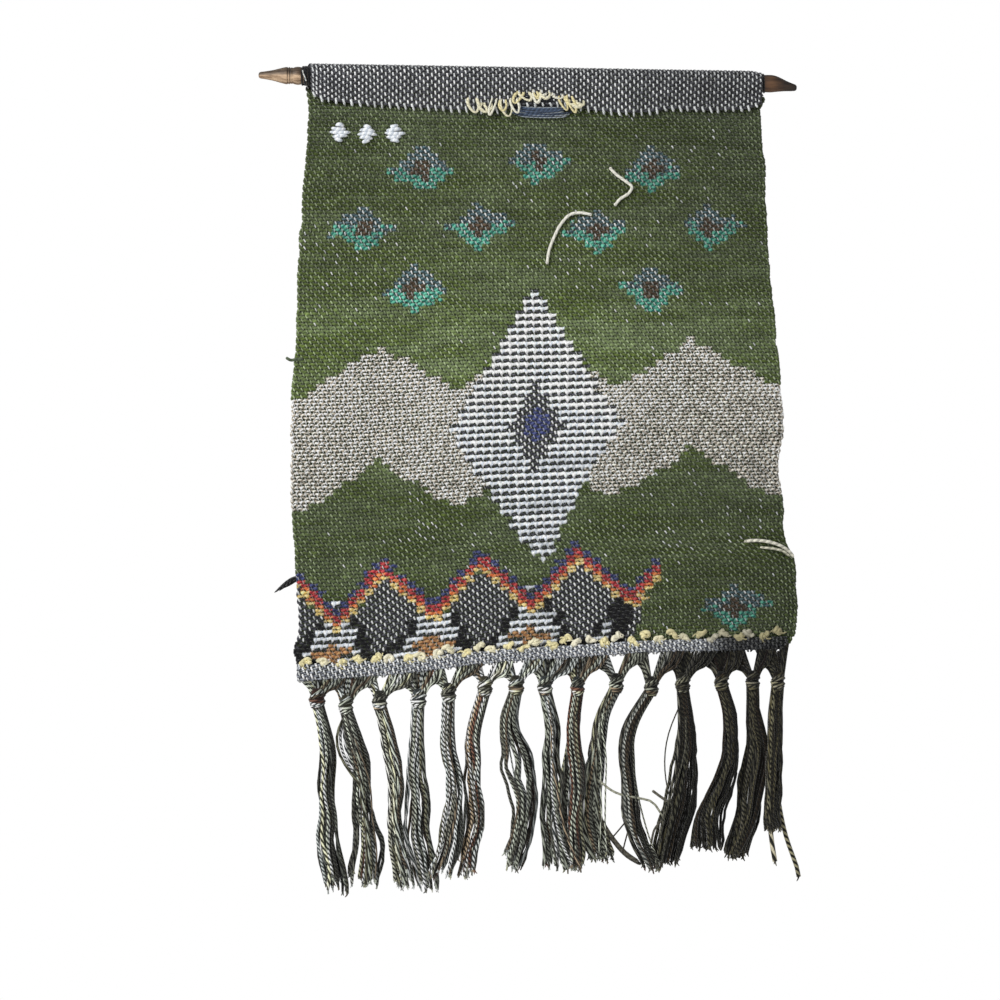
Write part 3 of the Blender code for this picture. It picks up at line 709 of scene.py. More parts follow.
def pattern():
    """Each crossing's patch, its place across and down, and its chance waver, by pick and warp."""
    pick, warp = np.meshgrid(np.arange(PICKS), np.arange(WARPS), indexing="ij")
    u = (warp - (WARPS - 1) / 2) * WARP_PITCH
    w = (pick - PANEL_FIRST) * PICK_PITCH
    # Edges step by two warps and two picks, and waver as hand weaving does.
    waver = RANDOM.uniform(-1, 1, (PICKS, WARPS))
    two_warps, two_picks = 2 * WARP_PITCH, 2 * PICK_PITCH
    su = np.round((u + 2.2 * smooth_noise(w / 9, u / 60, 3)) / two_warps) * two_warps
    sw = np.round((w + 1.6 * smooth_noise(u / 24, w / 60, 4)) / two_picks) * two_picks
    kind = np.full((PICKS, WARPS), PATCH_NAMES.index("green"))

    def paint(name, where):
        kind[where] = PATCH_NAMES.index(name)

    def diamond(x, y, half_x, half_y):
        return np.abs(su - x) / half_x + np.abs(sw - y) / half_y < 1

    # Beige zigzag band across the middle.
    paint("beige", np.abs(sw - 248 - 20 * zigzag(su, 122)) < 46)
    # Rows of diamonds, slate above and teal below, with brown hearts.
    for x, y in [(-92, 44), (2, 40), (96, 46), (-138, 92), (-44, 90), (50, 94), (142, 90),
                 (-94, 140), (94, 142), (142, 402)]:
        paint("teal", diamond(x, y, 27, 19))
        paint("slate", diamond(x, y, 27, 19) & (sw + 5 * waver < y))
        paint("brown", diamond(x, y, 9, 9))
    # Large white diamond in the middle.
    paint("white", diamond(0, 252, 66, 112))
    paint("charcoal", diamond(0, 252, 22, 38))
    paint("blue", diamond(0, 252, 10, 16))
    # Lower border: dark hills with blacker hearts, under a zigzag of bright stripes.
    line = 372 - 20 * zigzag(su + 12, 74)
    paint("charcoal", (sw > line + 10) & (su < 70))
    paint("white", (sw > 414 - 36 * zigzag(su + 49, 74)) & (su < 48))
    hill = (kind == PATCH_NAMES.index("charcoal")) & (sw > 300)
    paint("roving", (sw > 402 + 30 * zigzag(su + 12, 74)) & (su < 62) & hill)
    for name, low, high in (("blue", -6, -1), ("red", -1, 5), ("orange", 5, 8), ("yellow", 8, 12)):
        paint(name, (w > line + low) & (w <= line + high) & (u < 88))
    for x in (-160, -86, -12):
        paint("tan", diamond(x, 420, 16, 8))
    # A bulge of black roving at the left edge, and the woven ends of the cloth.
    paint("roving", (u < -170) & (np.abs(w - 433) < 9))
    paint("header", pick < PANEL_FIRST - 6)
    paint("hem", pick >= PANEL_LAST - 1)
    return kind, u, w, waver


KIND, PLACE_U, PLACE_W, WAVER = pattern()
GREEN = KIND == PATCH_NAMES.index("green")
PICK = np.arange(PICKS)[:, None]


def patch_values(column):
    """A column of the patch table, for every crossing."""
    return np.array([getattr(patch, column) for patch in PATCHES], float)[KIND]


def green_tones():
    """The green yarn's colour at every crossing, streaked along the picks."""
    streak = smooth_noise(PLACE_U / 34, PLACE_W / 4.2, 14) + 0.6 * smooth_noise(
        PLACE_U / 80, PLACE_W / 30, 15)
    share = ease(0.5 + 0.55 * streak)[..., None]
    # Brighter across the middle of the cloth and a little darker at the top.
    green_across_middle = 1 + 0.22 * np.exp(-((PLACE_W - 200) / 70) ** 2) - 0.10 * ease(1 - PLACE_W / 110)
    return (MOSS * (1 - share) + SAGE * share) * green_across_middle[..., None]


def brightness_and_painted_shade():
    """How bright the wool is over the cloth: brighter in the middle, painted shade low on the right."""
    middle_and_top = 0.40 * np.exp(-((PLACE_W - 200) / 80) ** 2) - 0.10 * ease(1 - PLACE_W / 90)
    # Painted shade, partly the wool's own darker tone: the right side and the lower part are darkened. The
    # hem's right end is darkened as painted shadow.
    shaded = 0.30 * ease((PLACE_U - 30) / 130) + 0.08 * ease((PLACE_W - 330) / 60)
    hem_end = 2.2 * ease((PLACE_U - 122) / 32) * (KIND == PATCH_NAMES.index("hem"))
    return np.exp(middle_and_top - shaded - hem_end)


def weft_tones():
    """Dark and light ply of the weft at every crossing, by pick and warp."""
    streak = smooth_noise(PLACE_U / 55, PLACE_W / 6, 11) * 0.5 + smooth_noise(
        PLACE_U / 20, PLACE_W / 3, 12) * 0.35
    fleck = 0.35 * (GREEN & (np.abs(WAVER) > 0.975))
    mottled = np.where(KIND == PATCH_NAMES.index("beige"), 0.38, 0.16)
    bright = (brightness_and_painted_shade() * np.exp(0.34 * streak + mottled * WAVER + fleck))[..., None]
    found = []
    for ply, part in (("dark", 0.70), ("light", 1.04)):
        first, second = [np.array([getattr(YARNS[getattr(patch, yarn)], ply) for patch in PATCHES])[KIND]
                         for yarn in ("name", "second")]
        base = np.where((PICK % 2 == 1)[..., None], second, first)
        found.append(np.where(GREEN[..., None], green_tones() * part, base) * bright)
    return found


# ---- the woven cloth ----
def pick_rings(pick, thick, point):
    """Middles, normals, widths and depths of a weft's rings along one pick, left to right."""
    side = np.where((np.arange(WARPS) + pick) % 2 == 0, 1.0, -1.0)[:, None]
    across = (np.arange(WARPS)[:, None] + 0.5 + WEFT_SAMPLES) / WARPS
    thick = thick[:, None]
    pointed = point[:, None] * (side > 0)
    slant = WEFT_SLANT * (1 - 0.5 * pointed) * WEFT_SAMPLES / WEFT_SAMPLES[-1] * side
    row = (pick + 0.5 + (slant + WEFT_SAG * pointed * thick * WEFT_MIDDLE) / PICK_PITCH
           + 0.13 * smooth_noise(across * 9, pick / 7, 21))
    middle, normal = surface_frame(across, row)
    rise = WEFT_LIFT * WEFT_SWELL * side * (0.9 + 0.1 * thick)
    plump = 0.93 + 0.07 * WEFT_MIDDLE
    width = thick * (plump - pointed * (0.42 - 0.48 * WEFT_MIDDLE))
    return middle + normal * rise[..., None], normal, width, WEFT_DEPTH * (0.58 + 0.3 * thick) * plump


def weft_yarns(finish):
    """The weft, in bands of picks, each one yarn that turns round the edges of the cloth."""
    dark, light = weft_tones()
    size = np.where(PICK % 2 == 1, patch_values("second_size"), patch_values("first_size"))
    size = size * (1 + 0.13 * WAVER)
    point = patch_values("point")
    bounds = np.linspace(0, PICKS, WEFT_BANDS + 1).astype(int)
    samples = len(WEFT_SAMPLES)
    pieces = []
    for number in range(WEFT_BANDS):
        columns = [[] for _ in range(6)]
        for pick in range(bounds[number], bounds[number + 1]):
            way = 1 if pick % 2 == 0 else -1
            along = [*pick_rings(pick, size[pick], point[pick]),
                     np.repeat(dark[pick][:, None], samples, 1),
                     np.repeat(light[pick][:, None], samples, 1)]
            along = [part.reshape((WARPS * samples,) + part.shape[2:])[::way] for part in along]
            # The turn round the edge, to the next pick.
            edge = 1 - TURN_INSET if way > 0 else TURN_INSET
            bulge = TURN_BULGE * way * RANDOM.uniform(0.2, 1.5)
            turn, turn_normal = surface_frame(np.full(3, edge), pick + WEFT_TURN)
            turn[:, 0] += bulge
            ends = [turn, turn_normal, np.full(3, 1.05), np.full(3, 0.95),
                    np.repeat(along[4][-1:], 3, 0), np.repeat(along[5][-1:], 3, 0)]
            for column, part, end in zip(columns, along, ends):
                column += [part, end]
        middles, normals, widths, depths, dark_tones, light_tones = [
            np.concatenate(column)[:-3] for column in columns]
        ahead, behind = neighbours(middles)
        beside = unit(np.cross(ahead - behind, normals))
        rings = ring_points(middles, normals * depths[:, None], beside * widths[:, None], WEFT_SIDES)
        yarn = YarnSet()
        yarn.add(rings, WEFT_TWIST, dark_tones, light_tones, per_strip=WARPS * samples + 3)
        pieces.append(yarn.build(f"weft_band_{number + 1}", finish, "woven_wool"))
    return pieces


def warp_paleness():
    """How pale the warp is at every crossing, with painted shade along the casing's top."""
    low = 0.22 * GREEN * ease((PLACE_W - 310) / 50)
    mottled = 0.42 * smooth_noise(PLACE_U / 7, PLACE_W / 8, 34)
    paleness = np.clip(patch_values("warp_light") + low + mottled, 0, PALEST)
    # Painted shade along the top of the casing, where the warps are dulled.
    return paleness * (1 - 0.65 * np.exp(-((PICK - CASING_RIDGE) / 2.2) ** 2))


def warp_tints():
    """A function that gives one warp's colour at every pick."""
    lit, paleness = patch_values("warp_light"), warp_paleness()
    ground, bright = weft_tones()[0] * 1.5, brightness_and_painted_shade()
    speckled = np.clip(smooth_noise(PLACE_U / 45, PLACE_W / 30, 33), 0, 1)

    def tint(warp):
        chance = 0.004 + 0.18 * speckled[:, warp]
        speck = (RANDOM.uniform(0, 1, PICKS) < chance) & (lit[:, warp] < 0.7)
        colour = np.where((GREEN[:, warp] & ~speck)[:, None], WARP_GREEN, WARP_TONE)
        share = np.clip(paleness[:, warp] + 0.45 * speck, 0, PALEST)[:, None]
        mixed = colour * share * bright[:, warp][:, None] + ground[:, warp] * np.maximum(1 - share, 0)
        return np.repeat(mixed * (1 + 0.18 * WAVER[:, warp])[:, None], 2, axis=0)

    return tint


def warp_yarns(finish):
    """The warps, in bands from left to right, each warp one yarn from the flap to the hem."""
    show, wide, lean = [patch_values("warp_" + column) for column in ("show", "wide", "lean")]
    tint_of = warp_tints()
    bounds = np.linspace(0, WARPS, WARP_BANDS + 1).astype(int)
    on_hem, on_casing = PICK >= PANEL_LAST, PICK < FLAP_PICKS
    pieces = []
    for number in range(WARP_BANDS):
        yarn = YarnSet()
        for warp in range(bounds[number], bounds[number + 1]):
            side = np.where((PICK + warp) % 2 == 0, -1.0, 1.0)
            # On the hem and the casing, which face the other way, what shows is longer than
            # what is hidden.
            stretch = np.where(on_hem, np.where(side < 0, 2.1, 0.4), 1.0)
            stretch = np.where(on_casing, np.where(side < 0, 1.3, 0.7), stretch)
            rows = (PICK + 0.5 + WARP_SAMPLES * stretch).ravel()
            sway = 0.16 * smooth_noise(rows / 14, warp * 0.7, 31)
            middle, normal = surface_frame((warp + 0.5 + sway) / WARPS, rows)
            slant = WARP_SLANT * lean[:, warp][:, None] * np.sign(WARP_SAMPLES) * side
            middle[:, 0] += slant.ravel()
            if warp < EDGE_WARPS:
                side = np.where(on_casing, np.minimum(side, EDGE_FLOAT), side)
            reach = WARP_LIFT * (show[:, warp][:, None] * side - HEM_FLOAT * on_hem)
            middle = middle + normal * np.repeat(reach, 2, axis=1).ravel()[:, None]
            half = np.repeat(WARP_RADIUS * wide[:, warp] * (1 + 0.12 * WAVER[:, warp]), 2)[:, None]
            beside = unit(np.cross(np.gradient(middle, axis=0), normal))
            rings = ring_points(middle, normal * WARP_DEPTH, beside * half, WARP_SIDES)
            tint = tint_of(warp)
            yarn.add(rings, WARP_TWIST, tint * 0.85, tint)
        pieces.append(yarn.build(f"warp_band_{number + 1}", finish, "woven_wool"))
    return pieces


def cloth_ground(finish):
    """The even sheet in the middle of the weave, which closes the gaps between its yarns and fills
    them with painted shade.
    """
    columns, rows = GROUND_CELLS
    across = np.linspace(0.002, 0.998, columns + 1)[None, :]
    row = np.linspace(0.1, PICKS - 0.1, rows + 1)[:, None]
    middle, normal = surface_frame(across, row)
    layers = [(middle + way * GROUND_HALF * normal).reshape(-1, 3) for way in (1, -1)]

    def at(r, c, back):
        return r * (columns + 1) + c + back * (columns + 1) * (rows + 1)

    faces = []
    for r in range(rows):
        for c in range(columns):
            faces.append((at(r, c, 0), at(r + 1, c, 0), at(r + 1, c + 1, 0), at(r, c + 1, 0)))
            faces.append((at(r, c, 1), at(r, c + 1, 1), at(r + 1, c + 1, 1), at(r + 1, c, 1)))
    for c in range(columns):
        faces.append((at(0, c, 0), at(0, c + 1, 0), at(0, c + 1, 1), at(0, c, 1)))
        faces.append((at(rows, c, 0), at(rows, c, 1), at(rows, c + 1, 1), at(rows, c + 1, 0)))
    end = columns
    for r in range(rows):
        faces.append((at(r, 0, 0), at(r, 0, 1), at(r + 1, 0, 1), at(r + 1, 0, 0)))
        faces.append((at(r, end, 0), at(r + 1, end, 0), at(r + 1, end, 1), at(r, end, 1)))
    mesh = bpy.data.meshes.new("cloth_ground")
    mesh.from_pydata((np.concatenate(layers) * MM).tolist(), [], faces)
    made = new_piece("cloth_ground", mesh, finish)
    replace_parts(made, "tapestry")


# ---- the rod ----
# The shade column is painted shade: dark bands in the grooves and where the rod goes into the casing, and
# a right end darkened as if in shadow.
ROD_PROFILE = table(
    "x radius shade",
    (-215.3, 0.9, 0.40), (-214.9, 1.9, 0.50), (-213.8, 2.6, 0.75), (-211.0, 3.0, 0.95),
    (-203.5, 4.3, 1.00), (-196.7, 6.1, 1.05), (-193.4, 6.8, 1.00), (-192.2, 6.8, 0.90),
    (-191.6, 6.3, 0.30), (-191.0, 6.8, 0.90), (-190.4, 6.75, 0.85), (-189.8, 6.2, 0.30),
    (-189.0, 6.5, 0.80), (-187.6, 6.35, 0.85), (-186.0, 6.9, 1.00), (-184.0, 7.2, 1.05),
    (-181.8, 7.0, 0.80), (-180.6, 6.7, 0.35), (-178.0, 7.0, 0.50), (188.0, 7.0, 0.16),
    (190.0, 6.9, 0.23), (195.0, 6.9, 0.32), (200.0, 6.0, 0.22), (207.0, 4.1, 0.09),
    (212.5, 2.9, 0.06), (214.6, 2.2, 0.05), (215.3, 1.0, 0.05))
ROD_SIDES = 40
RINGS_PER_SPAN = 4
# The right tip is bent down.
TIP_START = 196.0
TIP_LENGTH = 20.0
TIP_BEND = 2.9


def rod_colours(x, up):
    """The wood's colour along and round the rod: painted shade on top, in the grooves and over the
    right end, a painted highlight underneath on the left, and red-brown on the right.
    """
    shade = interpolate(ROD_PROFILE, x, "shade")
    right = ease((x - 150) / 30)
    # Painted shade on top, less of it on the right.
    shade = shade * (1 - 0.80 * ease((up + 0.55) / 1.15) * (1 - 0.6 * right))
    # Painted highlight underneath, on the left only.
    shade = shade * (1 + 0.90 * ease(0.2 - up) * (1 - right))
    colour = np.ones(x.shape + (3,)) - right[..., None] * np.array([0.25, 0.5, 0.68])
    return colour * shade[..., None]


def add_rod(finish):
    """The turned rod: pointed ends, two grooves and a bead on the left, a bent tip on the right."""
    places = np.array([ring.x for ring in ROD_PROFILE])
    spans = [np.linspace(a, b, RINGS_PER_SPAN, endpoint=False) for a, b in zip(places, places[1:])]
    x = np.append(np.concatenate(spans), places[-1])
    radius = np.maximum(interpolate(ROD_PROFILE, x, "radius"), 0.5)[:, None]
    angles = math.tau * np.arange(ROD_SIDES) / ROD_SIDES
    level = -TIP_BEND * ease((x - TIP_START) / TIP_LENGTH)[:, None]
    along, up = np.broadcast_arrays(x[:, None], np.sin(angles))
    points = np.stack([along, radius * np.cos(angles), level + radius * up], -1).reshape(-1, 3)
    last = len(points) - ROD_SIDES
    faces = []
    for start in range(0, last, ROD_SIDES):
        for k in range(ROD_SIDES):
            n = (k + 1) % ROD_SIDES
            faces.append((start + k, start + n, start + ROD_SIDES + n, start + ROD_SIDES + k))
    faces.append(tuple(range(ROD_SIDES - 1, -1, -1)))
    faces.append(tuple(range(last, len(points))))
    mesh = bpy.data.meshes.new("turned_rod")
    mesh.from_pydata((points * MM).tolist(), [], faces)
    add_colours(mesh, "wood_shade", rod_colours(along, up).reshape(-1, 3))
    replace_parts(new_piece("turned_rod", mesh, finish), "rod")


# ---- tassels ----
FRINGE_SHADES = table(
    "share dark light",
    (0.37, tone(38, 39, 33), tone(196, 202, 186)), (0.20, tone(60, 66, 66), tone(236, 242, 238)),
    (0.12, tone(60, 58, 42), tone(204, 204, 170)), (0.10, tone(44, 36, 28), tone(130, 116, 96)),
    (0.03, tone(52, 30, 24), tone(112, 80, 64)), (0.18, tone(26, 26, 22), tone(104, 104, 94)))
# The tassels on the right darken to this tone, partly their own darker yarn and partly painted shade.
LATE_TONE = np.array([0.17, 0.148, 0.11])
# How pale each tassel is beside the others, and knots that are paler than their tassel.
TASSEL_PALE = (0.98, 1.1, 1.9, 1.9, 1.35, 2.6, 1.3, 1.25, 1.3, 1.3, 1.35, 0.8, 0.85, 0.85, 1.5)
KNOT_PALE = {12: 2.6, 13: 1.4}
FRINGE_RADIUS = 1.06
FRINGE_STEPS = 22
# The middle layer is darkened as painted shade between the front and back strands.
FRINGE_LAYERS = table(
    "depth count sides bright", (-3.0, 7, 5, 0.95), (0.0, 8, 4, 0.40), (3.0, 6, 4, 1.0))
# Every other tassel hangs in front of its neighbours.
FAN_SHIFT = 4.6
# From this tassel on, the strands are more, closer and cut even.
FULL_TASSELS = 12
# The last tassel's loose strands end here, above its two thick cords.
LAST_TASSEL_CUT = 0.80
FRAY_HAIRS = 2
FRAY_RADII = np.array([0.9, 0.7, 0.35])
# Where the strands of a tassel part and leave a hole: share of its length, place and half width.
PARTINGS = table("tassel t x reach", (7, 0.42, -4.0, 3.9), (7, 0.49, 6.0, 3.2), (2, 0.30, -136.0, 2.4))
PARTING_LENGTH = 0.075
LEG_YARNS = 7
LEG_POINTS = 10
LEG_RADIUS = 1.3
# How far a leg's lowest yarn passes the middle of the gap, and how thick a leg is.
LEG_REACH = 6.0
LEG_THICK = 4.2
# How far below the hem the arch between each tassel and the next one lies.
ARCH_DROPS = (6.5, 6.2, 10.5, 9.4, 7.0, 10.2, 8.0, 11.5, 9.4, 7.0, 12.0, 11.0, 13.5, 11.5)
# Tassels whose legs have no light between them.
FILLED_TASSELS = (1, 2, 4, 8, 9, 12, 13, 15)
FILL_YARNS = 7
FILL_RADIUS = 1.9
KNOT_CORE = table("rise radius", (7.5, 3.0), (5.0, 4.6), (1.5, 5.2), (-2.5, 5.2), (-6.0, 5.0), (-8.5, 4.2))
KNOT_WRAPS = table(
    "rise tilt pale", (4.4, 0.55, 0.7), (2.3, 0.50, 0.6), (0.2, 0.42, 0.8), (-2.2, -0.15, 1.3),
    (-4.3, -0.20, 1.5), (-6.3, -0.12, 1.1))
WRAP_RADIUS = 1.35
# Yarns that hang beside their tassel: the shares of its length where they leave it and where
# they are back or cut off, how far they bow out and end up beside it, their radius and number,
# and how far in front of its middle they hang.
STRAY_STEPS = 19
STRAYS = table(
    "tassel start stop bow end radius count front",
    (2, 0.10, 1.0, 5.0, 7.0, 0.7, 1, 4.4), (7, 0.15, 1.0, -6.0, 3.0, 0.7, 1, 4.4),
    (10, 0.20, 1.0, 9.0, 4.0, 0.7, 1, 4.4), (10, 0.35, 1.0, 7.0, -2.0, 0.7, 1, 4.4),
    (11, 0.15, 1.0, 5.0, 9.0, 0.7, 1, 4.4), (12, 0.30, 1.0, -6.0, -9.0, 0.7, 1, 4.4),
    (12, 0.05, 0.7, -16.0, -4.0, 0.6, 1, 4.4), (14, 0.25, 1.0, 5.0, -6.0, 0.7, 1, 4.4),
    (8, 0.35, 1.0, 1.0, 15.0, 0.9, 1, 9.2), (8, 0.45, 1.0, -3.0, 11.0, 0.9, 1, 9.2),
    (8, 0.25, 0.75, 8.0, -4.0, 0.9, 1, 9.2), (13, 0.30, 0.9, 9.0, 1.0, 0.8, 1, 4.4),
    # The two thick cords in which the last tassel ends, one of them longer than the rest.
    (15, 0.35, 1.1, 3.0, 18.0, 1.9, 1, 0.0), (15, 0.50, 1.0, -2.0, -1.0, 2.1, 1, 0.0),
    # Locks of strands that lean over to the next tassel.
    (2, 0.02, 0.45, -15.0, 0.0, 1.2, 5, 0.0), (2, 0.50, 1.0, 2.0, 9.0, 1.2, 5, 0.0),
    (2, 0.50, 1.0, -1.0, -7.0, 1.2, 3, 0.0), (8, 0.40, 1.0, 2.0, 9.0, 1.2, 4, 0.0),
    (9, 0.18, 1.0, -13.0, -5.0, 1.3, 9, 0.0), (10, 0.28, 1.0, -10.0, -8.0, 1.3, 6, 0.0),
    (10, 0.50, 1.0, 3.0, 12.0, 1.2, 5, 0.0), (11, 0.55, 1.0, 2.0, 6.0, 1.3, 3, 0.0),
    (12, 0.50, 1.0, -2.0, -8.0, 1.4, 5, 0.0), (13, 0.42, 1.0, -5.0, -14.0, 1.4, 8, 0.0),
    (14, 0.06, 1.0, 12.0, 0.0, 1.5, 9, 0.0), (14, 0.18, 0.9, -7.0, -3.0, 1.4, 5, 0.0))
THICK_CORD = 1.5


def hem_level(x):
    """Z of the hem's bottom edge."""
    return -float(interpolate(BOTTOM_EDGE, x, "drop"))


class Tassel(YarnSet):
    """A tassel: yarns from the hem in two half bundles, the knot, and the loose strands."""

    def __init__(self, number):
        super().__init__(seed=100 + number)
        self.number = number
        self.row = TASSELS[number - 1]
        self.full = number >= FULL_TASSELS
        self.last = number == len(TASSELS)
        self.stations = table("t move width", *[
            (k / 5, move, width) for k, (move, width) in enumerate(
                zip((0, *self.row.moves), (TOP_WIDTH, *self.row.widths)))])

    def shade(self):
        """Dark and light ply of one yarn: mixed greys, nearly black and warm on the right, partly as
        painted shade.
        """
        late = ease(((self.number - 1) / (len(TASSELS) - 1) - 0.50) / 0.34)
        bright = 1 - late + LATE_TONE * late
        pale = TASSEL_PALE[self.number - 1]
        pick = self.rng.choice(len(FRINGE_SHADES), p=[shade.share for shade in FRINGE_SHADES])
        chosen = FRINGE_SHADES[pick]
        return (chosen.dark * bright * pale ** 0.6 * math.exp(self.rng.normal(0, 0.25)),
                chosen.light * bright * pale * math.exp(self.rng.normal(0.0, 0.3)))

    def add_yarn(self, path, radii, pale, sides=5):
        """One twisted yarn, sometimes a slack one. pale may change along it."""
        dark, light = self.shade()
        pale = np.broadcast_to(pale, (len(path),))[:, None]
        slack = self.rng.uniform()
        pitch = 3.4 + 2.0 * slack + 8.0 * ease((slack - 0.62) / 0.1)
        self.add(rings_along(path, radii, sides), pitch, dark * pale, light * pale, self.rng.uniform())

    def add_fray(self, tip):
        """Loose fibres at a strand's cut end."""
        _, light = self.shade()
        for _ in range(FRAY_HAIRS):
            lean_x, lean_y = self.rng.normal(0, 0.4, 2)
            reach = self.rng.uniform(1.5, 4.0)
            path = tip + reach * np.array([(0, 0, 0.3), (0.4 * lean_x, 0.3 * lean_y, -0.45),
                                           (lean_x, 0.6 * lean_y, -0.9)])
            self.strand(path, FRAY_RADII, light, sides=3, pitch=6.0, shade=0.6)

    def wave(self, t, slowest, quickest):
        """A sine wave along t, with a chance number of turns and start."""
        return np.sin(math.tau * (t * self.rng.uniform(slowest, quickest) + self.rng.uniform()))

    def level(self, t):
        """Z at a share of the loose strands' length."""
        return -self.row.drop - KNOT_HALF - (self.row.length - KNOT_HALF) * t

    def parted(self, t, x):
        """A strand's x, led round the holes in its tassel."""
        for parting in PARTINGS:
            if parting.tassel == self.number:
                away = x - parting.x
                side = 1.0 if np.interp(parting.t, t, away) > 0 else -1.0
                gap = parting.reach * np.exp(-((t - parting.t) / PARTING_LENGTH) ** 2)
                x = x + side * (np.hypot(away, gap) - np.abs(away))
        return x

    def add_strands(self):
        """The loose strands below the knot, which wave together, cross and part."""
        rng = self.rng
        fan = FAN_SHIFT if self.number % 2 else -FAN_SHIFT
        sway, sway_start = rng.uniform(2.0, 3.2), rng.uniform()
        spread, uneven, slowest = (0.25, 0.05, 1.3) if self.full else (0.38, 0.11, 1.7)
        for layer in FRINGE_LAYERS:
            count = layer.count + self.full
            for k in range(count):
                start = (2 * k + 1 - count) / count + rng.uniform(-0.08, 0.08)
                end = np.clip(start + rng.normal(0, spread), -1.05, 1.05)
                t = np.linspace(0, 1 - uneven * rng.uniform(0, 1) ** 1.3, FRINGE_STEPS + 1)
                if self.last:
                    t = t * LAST_TASSEL_CUT
                loose = ease(t * 2.2)
                share = start + (end - start) * ease(t * 1.2)
                common = 0.9 * np.sin(math.tau * (t * sway + sway_start))
                slow = rng.uniform(0.4, slowest) * self.wave(t, 0.8, 2.4)
                quick = rng.uniform(0.2, 0.7) * self.wave(t, 3, 8)
                reach = share * (interpolate(self.stations, t, "width") - 1.1)
                middle = self.row.x + interpolate(self.stations, t, "move")
                x = middle + reach + loose * (common + slow + quick)
                swing = loose * rng.uniform(0.4, 1.2) * self.wave(t, 1, 3)
                y = HEAD_Y + layer.depth * (0.75 + 0.25 * loose) - fan * loose + swing
                radii = FRINGE_RADIUS * rng.uniform(0.85, 1.12) * (1 + 0.20 * ease(t))
                radii[-3:] *= np.array([1.0, 1.15, 0.85])
                # Light comes from the left, so the right side of a tassel is darker.
                shaded = 1.15 - 0.88 * ease(0.36 + 0.8 * share) + 0.5 * ease((t - 0.93) / 0.06)
                path = np.stack([self.parted(t, x), y, self.level(t)], -1)
                self.add_yarn(path, radii, layer.bright * shaded, layer.sides)
                self.add_fray(path[-1])

    def leg_targets(self, side):
        """Where a leg's inner and lowest yarns reach the hem, and its arch's drop below it."""
        hem_x = self.row.left_leg if side < 0 else self.row.right_leg
        beside = self.number - 1 + side
        if not 0 <= beside < len(TASSELS):
            return hem_x - side * 4.0, hem_x + side * 2.5, 3.0
        other = TASSELS[beside].right_leg if side < 0 else TASSELS[beside].left_leg
        inner_x = self.row.x + side * np.clip(abs(hem_x - self.row.x) - 2.0, 4.5, 8.0)
        return inner_x, (hem_x + other) / 2 + side * LEG_REACH, ARCH_DROPS[min(self.number - 1, beside)]

    def leg_path(self, k, side, corner):
        """One yarn of a leg, from the knot to the hem."""
        outer = k / (LEG_YARNS - 1)
        inner_x, outer_x, arch_drop = self.leg_targets(side)
        top_x = inner_x + (outer_x - inner_x) * outer
        top = (top_x, HEAD_Y + side * -1.3 * outer, hem_level(top_x) + 1.2)
        if corner:
            # The last leg runs up in front of the hem to the cloth's corner.
            top = (204.0 + 11.0 * outer, -5.4 if outer > 0.3 else HEAD_Y, -457.0 + 10.0 * outer)
        low_x = self.row.x + side * (0.6 + 3.4 * outer) * self.row.girth
        low_z = 3.2 - self.row.drop - 1.4 * outer
        bend_x = low_x + 0.68 * (top[0] - low_x)
        arch_z = hem_level(bend_x) - arch_drop + LEG_RADIUS + LEG_THICK * (1 - outer)
        depth = HEAD_Y + side * -1.2 + 1.1 * math.cos(k * 2.4)
        arched = 0.0 if corner else outer ** 0.6
        points = [(low_x, HEAD_Y + 0.4 * (depth - HEAD_Y), low_z)]
        for along, rise in ((0.27, 0.62), (0.68, 1.0)):
            straight_z = low_z + along * (top[2] - low_z)
            points.append((low_x + along * (top[0] - low_x), depth,
                           straight_z + (low_z + rise * (arch_z - low_z) - straight_z) * arched))
        return smooth_route([*points, top], LEG_POINTS)

    def add_legs(self):
        """The yarns from the hem into the knot, which arch and cross the next tassel's."""
        for side in (-1, 1):
            corner = self.last and side > 0
            # The right leg is darker, painted shade on the side away from the light. The legs darken
            # towards the hem, and more in the full tassels and the corner leg.
            pale = (0.85 if side > 0 else 1.0) * (1.0 - 0.35 * np.linspace(0, 1, LEG_POINTS))
            pale = pale * (0.45 if corner else 1.0) * (0.6 if self.full else 1.0)
            for k in range(LEG_YARNS):
                self.add_yarn(self.leg_path(k, side, corner), LEG_RADIUS, pale)

    def add_fill(self):
        """Darker yarns behind the legs, straight from the hem into the knot, darkened partly as
        painted shade behind the legs.
        """
        left, right = self.leg_targets(-1)[0], self.leg_targets(1)[0]
        for k in range(FILL_YARNS):
            share = (k + 0.5) / FILL_YARNS
            top_x = left + (right - left) * share
            low_x = self.row.x + 3.0 * (share - 0.5)
            low_z, top_z = 1.5 - self.row.drop, hem_level(top_x) + 1.6
            middle_z = (low_z + top_z) / 2 + self.rng.uniform(-0.5, 0.5)
            path = [(low_x, HEAD_Y + 0.9, low_z), ((low_x + top_x) / 2, HEAD_Y + 1.2, middle_z),
                    (top_x, HEAD_Y + 0.6, top_z)]
            self.add_yarn(smooth_route(path, 6), FILL_RADIUS, 0.40 if self.number < 6 else 0.22)

